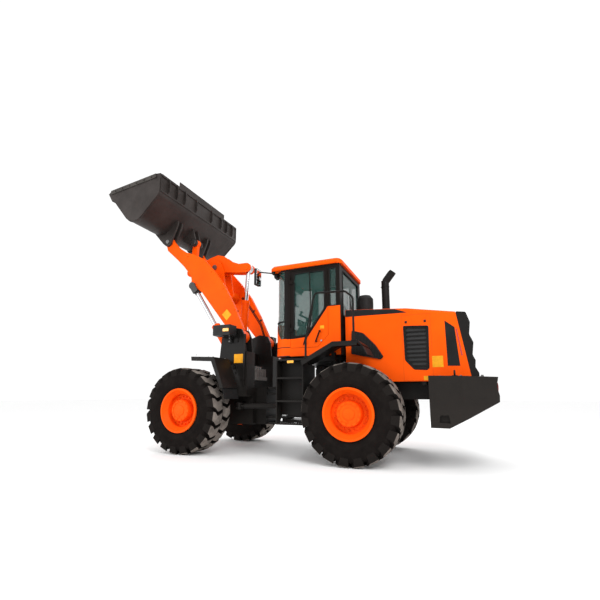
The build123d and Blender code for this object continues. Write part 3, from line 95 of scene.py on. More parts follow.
# Axes of turned parts
UP = (0, 0, 1)
DOWN = (0, 0, -1)
FRONT = (1, 0, 0)
BACK = (-1, 0, 0)
LEFT = (0, 1, 0)
# Where the cab's paint changes: the window line's range, its rear end and the side's two faces
LINE_LOW = 2.0
LINE_HIGH = 2.8
LINE_REAR = -1.4
SIDE_PROUD = 0.7545
SIDE_INNER = 0.735
# The lift rod's eye, and the square of its black fork's radius
ROD_EYE_X = 2.0213
ROD_EYE_Z = 3.4037
FORK_SQUARED = 0.048


def new_material(name):
    """A material, its node tree and its main shader."""
    m = bpy.data.materials.new(name)
    m.use_nodes = True
    tree = m.node_tree
    return m, tree, tree.nodes["Principled BSDF"]


def fill_in(tree, node, inputs):
    """Sets a node's inputs: an output is linked, any other value is typed in."""
    for key, value in inputs.items():
        if isinstance(value, bpy.types.NodeSocket):
            tree.links.new(value, node.inputs[key])
        else:
            node.inputs[key].default_value = value
    return node


def new_node(tree, kind, inputs):
    return fill_in(tree, tree.nodes.new("ShaderNode" + kind), inputs)


def math_node(tree, operation, a, b=None):
    node = tree.nodes.new("ShaderNodeMath")
    node.operation = operation
    return fill_in(tree, node, {0: a} if b is None else {0: a, 1: b}).outputs["Value"]


def dot(tree, ax, az, bx, bz):
    """The value ax * bx + az * bz."""
    return math_node(tree, "ADD", math_node(tree, "MULTIPLY", ax, bx), math_node(tree, "MULTIPLY", az, bz))


def place_of(tree):
    """Outputs X, Y and Z of a point on the object."""
    where = tree.nodes.new("ShaderNodeTexCoord")
    return new_node(tree, "SeparateXYZ", {"Vector": where.outputs["Object"]}).outputs


def coords(tree, stretch=(1.0, 1.0, 1.0)):
    where = tree.nodes.new("ShaderNodeTexCoord")
    mapping = new_node(tree, "Mapping", {"Scale": stretch, "Vector": where.outputs["Object"]})
    return mapping.outputs["Vector"]


def noise(tree, scale, detail=6.0, rough=0.6, stretch=(1.0, 1.0, 1.0)):
    """Clouds between 0 and 1."""
    made = new_node(tree, "TexNoise", {"Scale": scale, "Detail": detail, "Roughness": rough,
                                       "Vector": coords(tree, stretch)})
    return made.outputs["Fac"]


def cells(tree, scale, randomness=1.0):
    """Distance to the nearest of many cell centres."""
    made = new_node(tree, "TexVoronoi", {"Scale": scale, "Randomness": randomness, "Vector": coords(tree)})
    return made.outputs["Distance"]


def spread(tree, source, low, high):
    """The source's 0 to 1 as low to high."""
    return new_node(tree, "MapRange", {"Value": source, "To Min": low, "To Max": high}).outputs["Result"]


def ramp(tree, source, low, high, a, b):
    """Colour a below low and b above high, blended between."""
    r = new_node(tree, "ValToRGB", {"Fac": source})
    for element, position, colour in zip(r.color_ramp.elements, (low, high), (a, b)):
        element.position = position
        element.color = (*colour, 1.0)
    return r.outputs["Color"]


def mix(tree, factor, a, b):
    m = tree.nodes.new("ShaderNodeMix")
    m.data_type = "RGBA"
    tree.links.new(factor, m.inputs["Factor"])
    for socket, value in ((m.inputs["A"], a), (m.inputs["B"], b)):
        if isinstance(value, tuple):
            socket.default_value = (*value, 1.0)
        else:
            tree.links.new(value, socket)
    return m.outputs["Result"]


def cover(tree, shader, factor, colour):
    """Lays a colour over what the shader shows, where the factor is 1."""
    old = shader.inputs["Base Color"].links[0].from_socket
    fill_in(tree, shader, {"Base Color": mix(tree, factor, old, colour)})


def low_dust(tree, top, bottom):
    """1 near the ground and 0 above, broken up by noise."""
    near = new_node(tree, "MapRange", {"Value": place_of(tree)["Z"], "From Min": top, "From Max": bottom})
    return math_node(tree, "MULTIPLY", near.outputs["Result"], noise(tree, 3.5, 8.0, 0.7))


def bump(tree, shader, source, strength, distance):
    b = new_node(tree, "Bump", {"Strength": strength, "Distance": distance, "Height": source})
    tree.links.new(b.outputs["Normal"], shader.inputs["Normal"])


def painted(name, base, deep, rough=0.38, coat=0.05, dust=0.04, bump_size=0.0006, spec=0.15):
    """Paint with faint clouds, dust near the ground and a fine grain."""
    m, tree, shader = new_material(name)
    body = ramp(tree, noise(tree, 1.6, 5.0, 0.55), 0.30, 0.75, deep, base)
    dirt = math_node(tree, "MULTIPLY", low_dust(tree, 2.3, 0.2), dust)
    fine = noise(tree, 22.0, 6.0, 0.65)
    fill_in(tree, shader, {"Base Color": mix(tree, dirt, body, DUST),
                           "Roughness": spread(tree, fine, rough - 0.07, rough + 0.12),
                           "Coat Weight": coat, "Coat Roughness": 0.12, "Specular IOR Level": spec})
    bump(tree, shader, noise(tree, 260.0, 2.0, 0.5), 0.10, bump_size)
    return m


def worn_steel(name, base, light, rough=0.5, metal=0.25):
    """Dark paint rubbed down to bare steel in streaks and patches."""
    m, tree, shader = new_material(name)
    body = ramp(tree, noise(tree, 2.4, 9.0, 0.68), 0.36, 0.74, base, light)
    streak = noise(tree, 9.0, 10.0, 0.5, (0.35, 2.6, 0.35))
    rusty = ramp(tree, streak, 0.60, 0.78, (0, 0, 0), (0.5, 0.5, 0.5))
    fill_in(tree, shader, {"Base Color": mix(tree, rusty, body, (0.044, 0.031, 0.025)),
                           "Roughness": spread(tree, streak, rough - 0.14, rough + 0.16),
                           "Metallic": metal, "Specular IOR Level": 0.22})
    bump(tree, shader, noise(tree, 34.0, 8.0, 0.7), 0.35, 0.0015)
    return m


def rubber(name, base, dust_colour, dust_low, dust_high, grain=70.0):
    m, tree, shader = new_material(name)
    body = ramp(tree, noise(tree, 5.0, 9.0, 0.72), dust_low, dust_high, base, dust_colour)
    fill_in(tree, shader, {"Base Color": body, "Roughness": 0.82, "Specular IOR Level": 0.03})
    bump(tree, shader, noise(tree, grain, 7.0, 0.7), 0.30, 0.0016)
    return m


def tread_rubber(name):
    """Dusty on the faces that meet the ground, dark on the lugs' sides."""
    m = rubber(name, (0.060, 0.050, 0.044), (0.30, 0.26, 0.23), 0.28, 0.74)
    tree = m.node_tree
    shader = tree.nodes["Principled BSDF"]
    at = place_of(tree)
    where = tree.nodes.new("ShaderNodeTexCoord")
    facing = new_node(tree, "SeparateXYZ", {"Vector": where.outputs["Normal"]}).outputs
    hub = math_node(tree, "MULTIPLY", math_node(tree, "SIGN", at["X"]), WHEEL_X)
    dx = math_node(tree, "SUBTRACT", at["X"], hub)
    dz = math_node(tree, "SUBTRACT", at["Z"], WHEEL_Z)
    toward = dot(tree, dx, dz, facing["X"], facing["Z"])
    outward = math_node(tree, "DIVIDE", toward, math_node(tree, "SQRT", dot(tree, dx, dz, dx, dz)))
    fac = ramp(tree, outward, 0.55, 0.85, (0, 0, 0), (1, 1, 1))
    old = shader.inputs["Base Color"].links[0].from_socket
    fill_in(tree, shader, {"Base Color": mix(tree, fac, (0.013, 0.011, 0.010), old)})
    return m


def metal(name, base, rough, fine=130.0):
    m, tree, shader = new_material(name)
    cloud = noise(tree, fine, 5.0, 0.6)
    fill_in(tree, shader, {"Base Color": ramp(tree, cloud, 0.3, 0.8, tuple(c * 0.75 for c in base), base),
                           "Metallic": 1.0, "Roughness": rough})
    bump(tree, shader, cloud, 0.05, 0.0004)
    return m


def moulded(name, base, rough=0.5, grain=300.0):
    """Plastic, film or rubber trim with a fine grain."""
    m, tree, shader = new_material(name)
    light = tuple(min(1.0, c * 1.7 + 0.004) for c in base)
    fill_in(tree, shader, {"Base Color": ramp(tree, noise(tree, 4.0, 6.0, 0.6), 0.35, 0.8, base, light),
                           "Roughness": rough, "Specular IOR Level": 0.15})
    bump(tree, shader, noise(tree, grain, 3.0, 0.6), 0.22, 0.0006)
    return m


def lens(name, base, glow=0.0):
    m, tree, shader = new_material(name)
    spots = cells(tree, 70.0)
    deep = tuple(c * 0.45 for c in base)
    fill_in(tree, shader, {"Base Color": ramp(tree, spots, 0.0, 0.9, base, deep), "Roughness": 0.14,
                           "Coat Weight": 0.8})
    if glow:
        fill_in(tree, shader, {"Emission Color": (*base, 1.0), "Emission Strength": glow})
    bump(tree, shader, spots, 0.4, 0.002)
    return m


def glazing(name, tint, alpha):
    m, tree, shader = new_material(name)
    smear = noise(tree, 1.4, 7.0, 0.7)
    light = tuple(c * 1.3 for c in tint)
    fill_in(tree, shader, {"Base Color": ramp(tree, smear, 0.3, 0.8, tint, light),
                           "Roughness": spread(tree, smear, 0.02, 0.10), "IOR": 1.5, "Alpha": alpha,
                           "Specular IOR Level": 0.35})
    m.blend_method = "BLEND"
    return m


def two_tone(name):
    """Orange below the windows' line and black above it and on what stands proud."""
    m = painted(name, ORANGE, ORANGE_DEEP, 0.42, 0.0, 0.02, 0.0006, 0.05)
    tree = m.node_tree
    shader = tree.nodes["Principled BSDF"]
    at = place_of(tree)
    line = tree.nodes.new("ShaderNodeFloatCurve")
    curve = line.mapping.curves[0]
    spots = [(-1.4, 2.63), (-1.097, 2.63), (-1.072, 2.585), (-0.722, 2.103), (-0.45, 2.078), (0.0, 2.078)]
    height = LINE_HIGH - LINE_LOW
    marks = [((x - LINE_REAR) / -LINE_REAR, (z - LINE_LOW) / height) for x, z in spots]
    curve.points[0].location = marks[0]
    curve.points[1].location = marks[-1]
    for mark in marks[1:-1]:
        curve.points.new(*mark)
    for p in curve.points:
        p.handle_type = "VECTOR"
    line.mapping.update()
    share = math_node(tree, "DIVIDE", math_node(tree, "SUBTRACT", at["X"], LINE_REAR), -LINE_REAR)
    fill_in(tree, line, {"Value": share})
    rise = math_node(tree, "MULTIPLY", line.outputs["Value"], height)
    border = math_node(tree, "ADD", rise, LINE_LOW)
    above = math_node(tree, "GREATER_THAN", at["Z"], border)
    depth = math_node(tree, "ABSOLUTE", at["Y"])
    proud = math_node(tree, "GREATER_THAN", depth, SIDE_PROUD)
    hidden = math_node(tree, "LESS_THAN", depth, SIDE_INNER)
    dark = math_node(tree, "MAXIMUM", math_node(tree, "MAXIMUM", above, proud), hidden)
    cover(tree, shader, dark, (0.009, 0.007, 0.006))
    return m


def rod_chrome(name):
    """Chrome with a painted black fork about the rod's eye."""
    m = metal(name, (0.60, 0.60, 0.62), 0.14, 40.0)
    tree = m.node_tree
    shader = tree.nodes["Principled BSDF"]
    at = place_of(tree)
    dx = math_node(tree, "SUBTRACT", at["X"], ROD_EYE_X)
    dz = math_node(tree, "SUBTRACT", at["Z"], ROD_EYE_Z)
    fork = math_node(tree, "LESS_THAN", dot(tree, dx, dz, dx, dz), FORK_SQUARED)
    cover(tree, shader, fork, (0.015, 0.013, 0.012))
    fill_in(tree, shader, {"Metallic": math_node(tree, "SUBTRACT", 1.0, fork),
                           "Roughness": spread(tree, fork, 0.12, 0.47)})
    return m


def perforated(name, base):
    """Dark plate with rows of round holes."""
    m, tree, shader = new_material(name)
    holes = cells(tree, 85.0, 0.0)
    fill_in(tree, shader, {"Base Color": ramp(tree, holes, 0.28, 0.40, (0.001, 0.001, 0.001), base),
                           "Roughness": 0.6})
    bump(tree, shader, holes, 0.6, 0.002)
    return m


def fabric(name, base):
    m, tree, shader = new_material(name)
    made = new_node(tree, "TexWave", {"Scale": 160.0, "Distortion": 1.5, "Vector": coords(tree)})
    weave = made.outputs["Fac"]
    light = tuple(c * 2.2 for c in base)
    fill_in(tree, shader, {"Base Color": ramp(tree, weave, 0.2, 0.9, base, light), "Roughness": 0.9,
                           "Sheen Weight": 0.4})
    bump(tree, shader, weave, 0.4, 0.0012)
    return m


mat = {
    "orange": painted("orange_paint", ORANGE, ORANGE_DEEP, 0.42, 0.0, 0.02, 0.0006, 0.05),
    "black": painted("black_paint", GREY_BLACK, BLACK, 0.45, 0.04, 0.05, 0.0006, 0.10),
    "cw": painted("counterweight_paint", (0.013, 0.0105, 0.009), (0.009, 0.0075, 0.0065), 0.5, 0.04, 0.04,
                  0.0018, 0.10),
    "bucket": worn_steel("bucket_steel", BUCKET, (0.046, 0.038, 0.035)),
    "edge": worn_steel("edge_steel", (0.034, 0.030, 0.027), (0.085, 0.076, 0.068), 0.45, 0.5),
    "tyre": rubber("tyre_side", RUBBER, (0.016, 0.013, 0.0115), 0.42, 0.90),
    "tread": tread_rubber("tyre_tread"),
    "chrome": metal("rod_chrome", (0.60, 0.60, 0.62), 0.14, 40.0),
    "steel": metal("pin_steel", (0.24, 0.235, 0.23), 0.42),
    "plastic": moulded("black_plastic", (0.012, 0.012, 0.012)),
    "gasket": moulded("gasket_rubber", (0.008, 0.008, 0.008), 0.7, 180.0),
    "grey": moulded("grey_trim", (0.075, 0.07, 0.065), 0.55),
    "label": moulded("yellow_label", (0.60, 0.25, 0.006), 0.5, 120.0),
    "silver": moulded("reflector_silver", (0.52, 0.50, 0.48), 0.25, 220.0),
    # The red lens glows; on the reflectors, which are no lamps, that glow is painted light
    "red": lens("red_lens", (0.45, 0.012, 0.008), 0.25),
    "amber": lens("amber_lens", (0.95, 0.42, 0.02), 0.35),
    "clear": lens("clear_lens", (0.65, 0.66, 0.66)),
    "glass": glazing("cab_glass", (0.018, 0.062, 0.052), 0.38),
    "seat": fabric("seat_fabric", (0.018, 0.018, 0.020)),
    "pillar": painted("pillar_paint", (0.008, 0.006, 0.0055), (0.006, 0.005, 0.0045), 0.42, 0.03, 0.03,
                      0.0006, 0.08),
    "stripe": moulded("black_film", (0.006, 0.006, 0.006), 0.35, 240.0),
    # Darker orange for the hood door's gaps: painted shade in the seams
    "orange_seam_shade": painted("painted_seam_shade", (0.42, 0.035, 0.002), (0.35, 0.03, 0.002), 0.45, 0.0),
    "mesh": perforated("grille_mesh", (0.010, 0.010, 0.010)),
    "cab": two_tone("cab_paint"),
    "rod": rod_chrome("lift_rod_chrome"),
    "mirror": metal("mirror_glass", (0.82, 0.84, 0.86), 0.04, 3.0),
}
slot_of = {"orange": "orange_paint", "orange_seam_shade": "orange_paint", "label": "orange_paint",
           "black": "black_paint", "pillar": "black_paint", "stripe": "black_paint",
           "cw": "dark_grey_paint", "bucket": "dark_grey_paint", "edge": "dark_grey_paint",
           "tyre": "tyre", "tread": "tyre", "plastic": "black_plastic", "gasket": "black_plastic",
           "grey": "black_plastic", "mesh": "black_plastic", "chrome": "chrome", "steel": "steel",
           "silver": "steel", "red": "lamp", "amber": "lamp", "clear": "lamp", "glass": "glass",
           "seat": "seat_fabric", "mirror": "mirror",}

looks = {
    "orange": ["boom_arm_left", "boom_arm_right", "boom_crossmember", "rocker", "link", "tilt_barrel",
               "hood", "cab_front", "cab_roof", "lift_barrel_left", "lift_barrel_right",
               "rim_front_left", "rim_front_right", "rim_rear_left", "rim_rear_right"],
    "black": ["front_frame", "front_axle", "rear_axle", "front_fenders", "boom_lock_bars",
              "steer_barrel_left", "steer_barrel_right", "rear_frame", "engine_block", "side_tanks",
              "hood_side_grilles", "rear_grille", "exhaust_stack", "rear_fenders", "steps", "handrails",
              "cab_floor", "cab_rear"],
    "plastic": ["head_lamps", "air_precleaner", "steering_console", "mirrors"],
    "cw": ["counterweight"],
    "bucket": ["bucket_shell"],
    "edge": ["cutting_edge"],
    "chrome": ["tilt_rod", "steer_rod_left", "steer_rod_right"],
    "rod": ["lift_rod_left", "lift_rod_right"],
    "steel": ["bucket_pins", "rocker_pin", "link_pin", "tilt_pin"],
    "glass": ["cab_glass", "door_glass"],
    "cab": ["cab_sides", "door"],
    "seat": ["seat"],
    "red": ["tail_lamps"],
    "clear": ["roof_lamps"],
    "tyre": ["tyre_front_left", "tyre_front_right", "tyre_rear_left", "tyre_rear_right"],
}
for key, names in looks.items():
    for name in names:
        nodes[name].data.materials.clear()
        nodes[name].data.materials.append(mat[key])

# Mesh helpers


def finish_mesh(name, bm, material, body, bevel=0.0, segments=2, smooth=True):
    """Turns the bmesh into a piece that rides on a body."""
    bmesh.ops.recalc_face_normals(bm, faces=bm.faces)
    mesh = bpy.data.meshes.new(name)
    bm.to_mesh(mesh)
    bm.free()
    return place(name, mesh, material, body, bevel, segments, smooth)


def add_bevel(obj, width, segments):
    """Rounds the object's sharp edges."""
    b = obj.modifiers.new("bevel", "BEVEL")
    b.width = width
    b.segments = segments
    b.limit_method = "ANGLE"
    b.angle_limit = math.radians(40)
    b.harden_normals = True


def place(name, mesh, material, body, bevel=0.0, segments=2, smooth=True):
    for p in mesh.polygons:
        p.use_smooth = smooth
    obj = bpy.data.objects.new(name, mesh)
    bpy.context.scene.collection.objects.link(obj)
    mesh.materials.append(mat[material])
    if bevel:
        add_bevel(obj, bevel, segments)
    if smooth and hasattr(mesh, "set_sharp_from_angle"):
        mesh.set_sharp_from_angle(angle=math.radians(35))
    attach(obj, body)
    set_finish(obj, slot_of[material])
    return obj


def finish_pair(name, *rest):
    """A mesh and its copy on the machine's other side."""
    return both_sides(finish_mesh(name, *rest), True)


def both_sides(obj, both):
    """Adds the piece's mirrored copy where both is true."""
    if both:
        mirror_mesh(obj, obj.name + "_right")
    return obj


def mirror_mesh(obj, name, body=None):
    """A copy of obj on the machine's other side."""
    mesh = obj.data.copy()
    mesh.transform(Matrix.Diagonal((1, -1, 1, 1)))
    mesh.flip_normals()
    copy = bpy.data.objects.new(name, mesh)
    bpy.context.scene.collection.objects.link(copy)
    for m in obj.modifiers:
        add_bevel(copy, m.width, m.segments)
    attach(copy, body or obj["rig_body"])
    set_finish(copy, obj["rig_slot"])
    return copy


def prism(bm, loop, offset):
    """Adds a closed prism: loop is a list of points, offset the extrusion vector."""
    a = [bm.verts.new(p) for p in loop]
    b = [bm.verts.new(Vector(p) + Vector(offset)) for p in loop]
    n = len(loop)
    bm.faces.new(a[::-1])
    bm.faces.new(b)
    for i in range(n):
        bm.faces.new((a[i], a[(i + 1) % n], b[(i + 1) % n], b[i]))


def block(bm, x0, x1, y0, y1, z0, z1):
    """Adds a closed box."""
    prism(bm, [(x0, y0, z0), (x1, y0, z0), (x1, y1, z0), (x0, y1, z0)], (0, 0, z1 - z0))


def side_panel(name, points, y0, y1, material, body, bevel=0.002, both=False):
    """A plate from points (x, z), between two values of y."""
    bm = bmesh.new()
    prism(bm, [(x, y0, z) for x, z in points], (0, y1 - y0, 0))
    return both_sides(finish_mesh(name, bm, material, body, bevel, 2, False), both)


def boxes(name, specs, material, body, bevel=0.004, both=False):
    """Several closed boxes (x0, x1, y0, y1, z0, z1) in one piece."""
    bm = bmesh.new()
    for spec in specs:
        block(bm, *spec)
    return both_sides(finish_mesh(name, bm, material, body, bevel, 2, False), both)


def tube(name, points, radius, material, body, cyclic=False, bend=0, both=False, sides=5):
    """A round bar along points, bent smoothly where bend is 1, turned into a mesh."""
    curve = bpy.data.curves.new(name, "CURVE")
    curve.dimensions = "3D"
    curve.bevel_depth = radius
    curve.bevel_resolution = sides
    curve.use_fill_caps = True
    s = curve.splines.new("NURBS" if bend else "POLY")
    s.points.add(len(points) - 1)
    for p, q in zip(s.points, points):
        p.co = (*q, 1.0)
    if bend:
        s.order_u = 3
        s.use_endpoint_u = True
        s.resolution_u = 10
    s.use_cyclic_u = cyclic
    temp = bpy.data.objects.new(name + "_path", curve)
    mesh = bpy.data.meshes.new_from_object(temp)
    bpy.data.objects.remove(temp)
    return both_sides(place(name, mesh, material, body), both)


def ways_round(axis, count):
    """Unit vectors square to an axis, evenly spread round it."""
    z = Vector(axis).normalized()
    x = z.orthogonal().normalized()
    y = z.cross(x)
    angles = [2 * math.pi * i / count for i in range(count)]
    return [x * math.cos(a) + y * math.sin(a) for a in angles]


def turn_rings(bm, profile, centre, axis, steps):
    """Copies of (radius, distance along the axis) points, turned about a centre."""
    z = Vector(axis).normalized()
    c = Vector(centre)
    return [[bm.verts.new(c + d * r + z * h) for r, h in profile] for d in ways_round(axis, steps)]


def lathe(bm, profile, centre, axis, steps=48):
    """A closed ring from (radius, distance along the axis) points about a centre."""
    rings = turn_rings(bm, profile, centre, axis, steps)
    n = len(profile)
    for p, q in zip(rings, rings[1:] + rings[:1]):
        for k in range(n):
            bm.faces.new((p[k], p[(k + 1) % n], q[(k + 1) % n], q[k]))


def solid_lathe(bm, profile, centre, axis, steps=32):
    """A turned solid from (radius, height) points; its ends are closed flat."""
    rings = turn_rings(bm, profile, centre, axis, steps)
    for p, q in zip(rings, rings[1:] + rings[:1]):
        for k in range(len(profile) - 1):
            bm.faces.new((p[k], p[k + 1], q[k + 1], q[k]))
    bm.faces.new([r[0] for r in rings][::-1])
    bm.faces.new([r[-1] for r in rings])


def bolts(bm, spots, axis, size, height):
    """Hexagon heads with a washer, standing out along the axis."""
    for s in spots:
        solid_lathe(bm, [(size * 1.35, 0.0), (size * 1.35, height * 0.18)], s, axis, 16)
        base = Vector(s) + Vector(axis).normalized() * height * 0.15
        solid_lathe(bm, [(size, 0.0), (size, height * 0.72), (size * 0.86, height * 0.85)], base, axis, 6)


def ring_spots(centre, axis, radius, count):
    """Points evenly spread on a circle."""
    return [Vector(centre) + d * radius for d in ways_round(axis, count)]


# Wheels
WHEEL_Y = 1.08
LUG_PAIRS = 20
LUG_PITCH = 2 * math.pi / LUG_PAIRS
BEAD_RADIUS = 0.374


def tyre_piece(name, x, side, body, node):
    """Carcass with a rounded section, rings on the sidewalls and chevron lugs."""
    bm = bmesh.new()
    c = (x, side * WHEEL_Y, WHEEL_Z)
    profile = [(BEAD_RADIUS, -0.256), (0.408, -0.257), (0.440, -0.276), (0.470, -0.290), (0.500, -0.2955),
               (0.506, -0.2975), (0.520, -0.2975), (0.526, -0.2955), (0.580, -0.2965), (0.630, -0.292),
               (0.668, -0.284), (0.696, -0.268), (0.714, -0.244), (0.724, -0.200), (0.728, -0.120),
               (0.730, 0.0)]
    profile = profile + [(r, -y) for r, y in profile[-2::-1]] + [(BEAD_RADIUS, 0.0)]
    lathe(bm, profile, c, LEFT, 96)
    carcass = finish_mesh(name, bm, "tyre", body)
    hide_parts(node)
    lugs = bmesh.new()
    for hand in (-1, 1):
        for i in range(LUG_PAIRS):
            centre = LUG_PITCH * (i + (0.5 if hand > 0 else 0.0))
            lug(lugs, c, centre, hand)
    finish_mesh(name + "_tread", lugs, "tread", body, 0.006, 2)


def lug(bm, c, centre, hand):
    """One block from the middle of the tread to its shoulder, bent like a chevron."""
    # Distance from the middle, shift and half width in pitches, radius of the face
    rows = [(0.004, 0.00, 0.38, WHEEL_Z - 0.002), (0.110, 0.16, 0.36, WHEEL_Z),
            (0.150, 0.20, 0.35, WHEEL_Z), (0.225, -0.06, 0.36, WHEEL_Z - 0.002),
            (0.268, -0.14, 0.33, WHEEL_Z - 0.020), (0.292, -0.16, 0.30, WHEEL_Z - 0.080)]
    depth_under = [0.700, 0.700, 0.700, 0.690, 0.660, 0.640]
    top = []
    low = []
    for (y, shift, half, r), under in zip(rows, depth_under):
        t0 = []
        l0 = []
        for edge in (-half, half):
            a = centre + (shift + edge) * LUG_PITCH
            direction = Vector((math.cos(a), 0, math.sin(a)))
            out = Vector((0, hand * y, 0))
            t0.append(bm.verts.new(Vector(c) + direction * r + out))
            l0.append(bm.verts.new(Vector(c) + direction * under + out))
        top.append(t0)
        low.append(l0)
    for i in range(len(rows) - 1):
        bm.faces.new((top[i][0], top[i][1], top[i + 1][1], top[i + 1][0]))
        bm.faces.new((low[i][0], low[i + 1][0], low[i + 1][1], low[i][1]))
        bm.faces.new((top[i][0], top[i + 1][0], low[i + 1][0], low[i][0]))
        bm.faces.new((top[i][1], low[i][1], low[i + 1][1], top[i + 1][1]))
    bm.faces.new((top[0][0], low[0][0], low[0][1], top[0][1]))
    bm.faces.new((top[-1][0], top[-1][1], low[-1][1], low[-1][0]))


def rim_details(name, x, side, body):
    """Wheel nuts, a ring of planet cover bolts, a lock ring and the drain plug."""
    axis = (0, side, 0)
    disc = side * (WHEEL_Y + 0.108)
    face = side * (WHEEL_Y + 0.228)
    bm = bmesh.new()
    bolts(bm, ring_spots((x, disc, WHEEL_Z), axis, 0.250, 20), axis, 0.015, 0.030)
    finish_mesh(name + "_nuts", bm, "orange", body, 0.0, 1, False)
    bm = bmesh.new()
    lathe(bm, [(0.150, 0.0), (0.150, 0.008), (0.186, 0.008), (0.186, 0.0)], (x, face, WHEEL_Z), axis, 64)
    solid_lathe(bm, [(0.092, 0.0), (0.090, 0.010), (0.074, 0.016), (0.0005, 0.018)], (x, face, WHEEL_Z),
                axis, 48)
    finish_mesh(name + "_cover", bm, "orange", body, 0.002, 2)
    bm = bmesh.new()
    spots = ring_spots((x, face + side * 0.008, WHEEL_Z), axis, 0.168, 12)
    bolts(bm, spots, axis, 0.009, 0.014)
    bolts(bm, [Vector((x + 0.02, face + side * 0.001, WHEEL_Z - 0.118))], axis, 0.012, 0.014)
    finish_mesh(name + "_cover_bolts", bm, "orange", body, 0.0, 1, False)
    bm = bmesh.new()
    out = side * (WHEEL_Y + 0.292)
    lathe(bm, [(0.366, -0.006), (0.366, 0.001), (0.374, 0.0035), (0.396, 0.0035), (0.401, 0.0),
               (0.401, -0.006)], (x, out, WHEEL_Z), axis, 72)
    finish_mesh(name + "_lock_ring", bm, "orange", body)


for name, x, side in (("front_left", WHEEL_X, 1), ("front_right", WHEEL_X, -1),
                      ("rear_left", -WHEEL_X, 1), ("rear_right", -WHEEL_X, -1)):
    tyre_piece("tyre_look_" + name, x, side, "wheel_" + name, "tyre_" + name)
    rim_details("rim_look_" + name, x, side, "wheel_" + name)

# Cab: its side, the round front corner as x, y and radius, the lamps' height, seals and door
CAB_Y = 0.75
CORNER = (-0.27, 0.50, 0.25)
ROOF_LAMP_Z = 3.362
SEAL_Y = 0.7505
DOOR_FACE = 0.7495


def corner_path(out, start_x, reach=90.0, steps=9):
    """Plan points of the cab's left front corner, from its side to its front."""
    cx, cy, r = CORNER
    pts = [(start_x, CAB_Y + out)]
    for i in range(steps + 1):
        a = math.radians(90.0 - reach * i / steps)
        pts.append((cx + (r + out) * math.cos(a), cy + (r + out) * math.sin(a)))
    return pts


def band(name, path, depth, z0, z1, material, body, both=False, bevel=0.0015):
    """An upright strip along plan points, its inner face the given depth inside."""
    bm = bmesh.new()
    outer = [Vector((x, y, 0)) for x, y in path]
    inner = []
    for i, p in enumerate(outer):
        a = outer[max(i - 1, 0)]
        b = outer[min(i + 1, len(outer) - 1)]
        way = (b - a).normalized()
        inner.append(p + Vector((way.y, -way.x, 0)) * depth)
    rows = []
    for o, n in zip(outer, inner):
        rows.append([bm.verts.new((v.x, v.y, z)) for v, z in ((o, z0), (o, z1), (n, z1), (n, z0))])
    for a, b in zip(rows, rows[1:]):
        for k in range(4):
            bm.faces.new((a[k], a[(k + 1) % 4], b[(k + 1) % 4], b[k]))
    bm.faces.new(rows[0][::-1])
    bm.faces.new(rows[-1])
    return both_sides(finish_mesh(name, bm, material, body, bevel, 1), both)


def seal(name, points, y, material, body, radius=0.009, both=False):
    """A rubber profile round a window, from points (x, z) at one value of y."""
    return tube(name, [(x, y, z) for x, z in points], radius, material, body, True, 0, both, 2)


def round_corners(points, radius, steps=4):
    """Points of a closed outline with its corners cut to arcs."""
    out = []
    n = len(points)
    for i, p in enumerate(points):
        p = Vector(p)
        a = (Vector(points[i - 1]) - p).normalized()
        b = (Vector(points[(i + 1) % n]) - p).normalized()
        for k in range(steps + 1):
            t = k / steps
            q = p + a * radius * (1 - t) ** 2 + b * radius * t ** 2
            out.append(tuple(q))
    return out


full = corner_path(0.0015, -0.30)
wrap = full + [(x, -y) for x, y in full[::-1]]
for label, z0, z1 in (("lower", 2.40, 2.425), ("upper", 3.385, 3.412)):
    band("windscreen_" + label + "_trim", wrap, 0.03, z0, z1, "gasket", "rear_body")
band("cab_pillar_front", corner_path(0.002, -0.318, 5.0, 5), 0.045, 2.085, 3.412, "pillar", "rear_body",
     True)
band("cab_groove_front", corner_path(0.0012, -0.372), 0.006, 1.921, 1.935, "gasket", "rear_body", True, 0.0)
band("cab_foot_trim", corner_path(0.004, -0.37), 0.02, 1.76, 1.775, "plastic", "rear_body", True)
window = [(-0.452, 2.118), (-0.700, 2.140), (-1.040, 2.600), (-1.040, 3.305), (-0.452, 3.305)]
seal("door_window_seal", round_corners(window, 0.045), SEAL_Y, "gasket", "cab_door", 0.010)
pane = [(-1.150, 2.640), (-1.262, 2.640), (-1.262, 3.330), (-1.150, 3.330)]
seal("quarter_window_seal", round_corners(pane, 0.018), SEAL_Y, "gasket", "rear_body", 0.008, True)
wide = [(-0.384, 2.380), (-1.104, 2.380), (-1.104, 3.360), (-0.384, 3.360)]
seal("right_window_seal", round_corners(wide, 0.03), -SEAL_Y, "gasket", "rear_body", 0.010)
rear_pane = round_corners([(-0.56, 2.46), (0.56, 2.46), (0.56, 3.32), (-0.56, 3.32)], 0.04)
tube("rear_window_seal", [(-1.331, y, z) for y, z in rear_pane], 0.011, "gasket", "rear_body", True, 0,
     False, 2)
door_edge = [(-0.390, 1.921), (-0.903, 1.921), (-1.098, 2.122), (-1.098, 3.354), (-0.390, 3.354)]
seal("door_edge_seal", door_edge, 0.744, "gasket", "rear_body", 0.0035)
side_panel("door_rib", [(-0.40, 2.005), (-0.78, 1.985), (-0.78, 1.991), (-0.40, 2.011)], DOOR_FACE, 0.751,
           "orange", "cab_door")
bm = bmesh.new()
solid_lathe(bm, [(0.017, -0.004), (0.017, 0.006), (0.014, 0.009), (0.006, 0.009), (0.006, 0.006)],
            (-0.975, 0.750, 2.02), LEFT, 24)
finish_mesh("door_lock", bm, "chrome", "cab_door", 0.0008, 1)
side_panel("door_label", [(-0.955, 2.235), (-1.03, 2.235), (-1.03, 2.29), (-0.955, 2.29)], DOOR_FACE,
           0.7506, "label", "cab_door", 0.0)
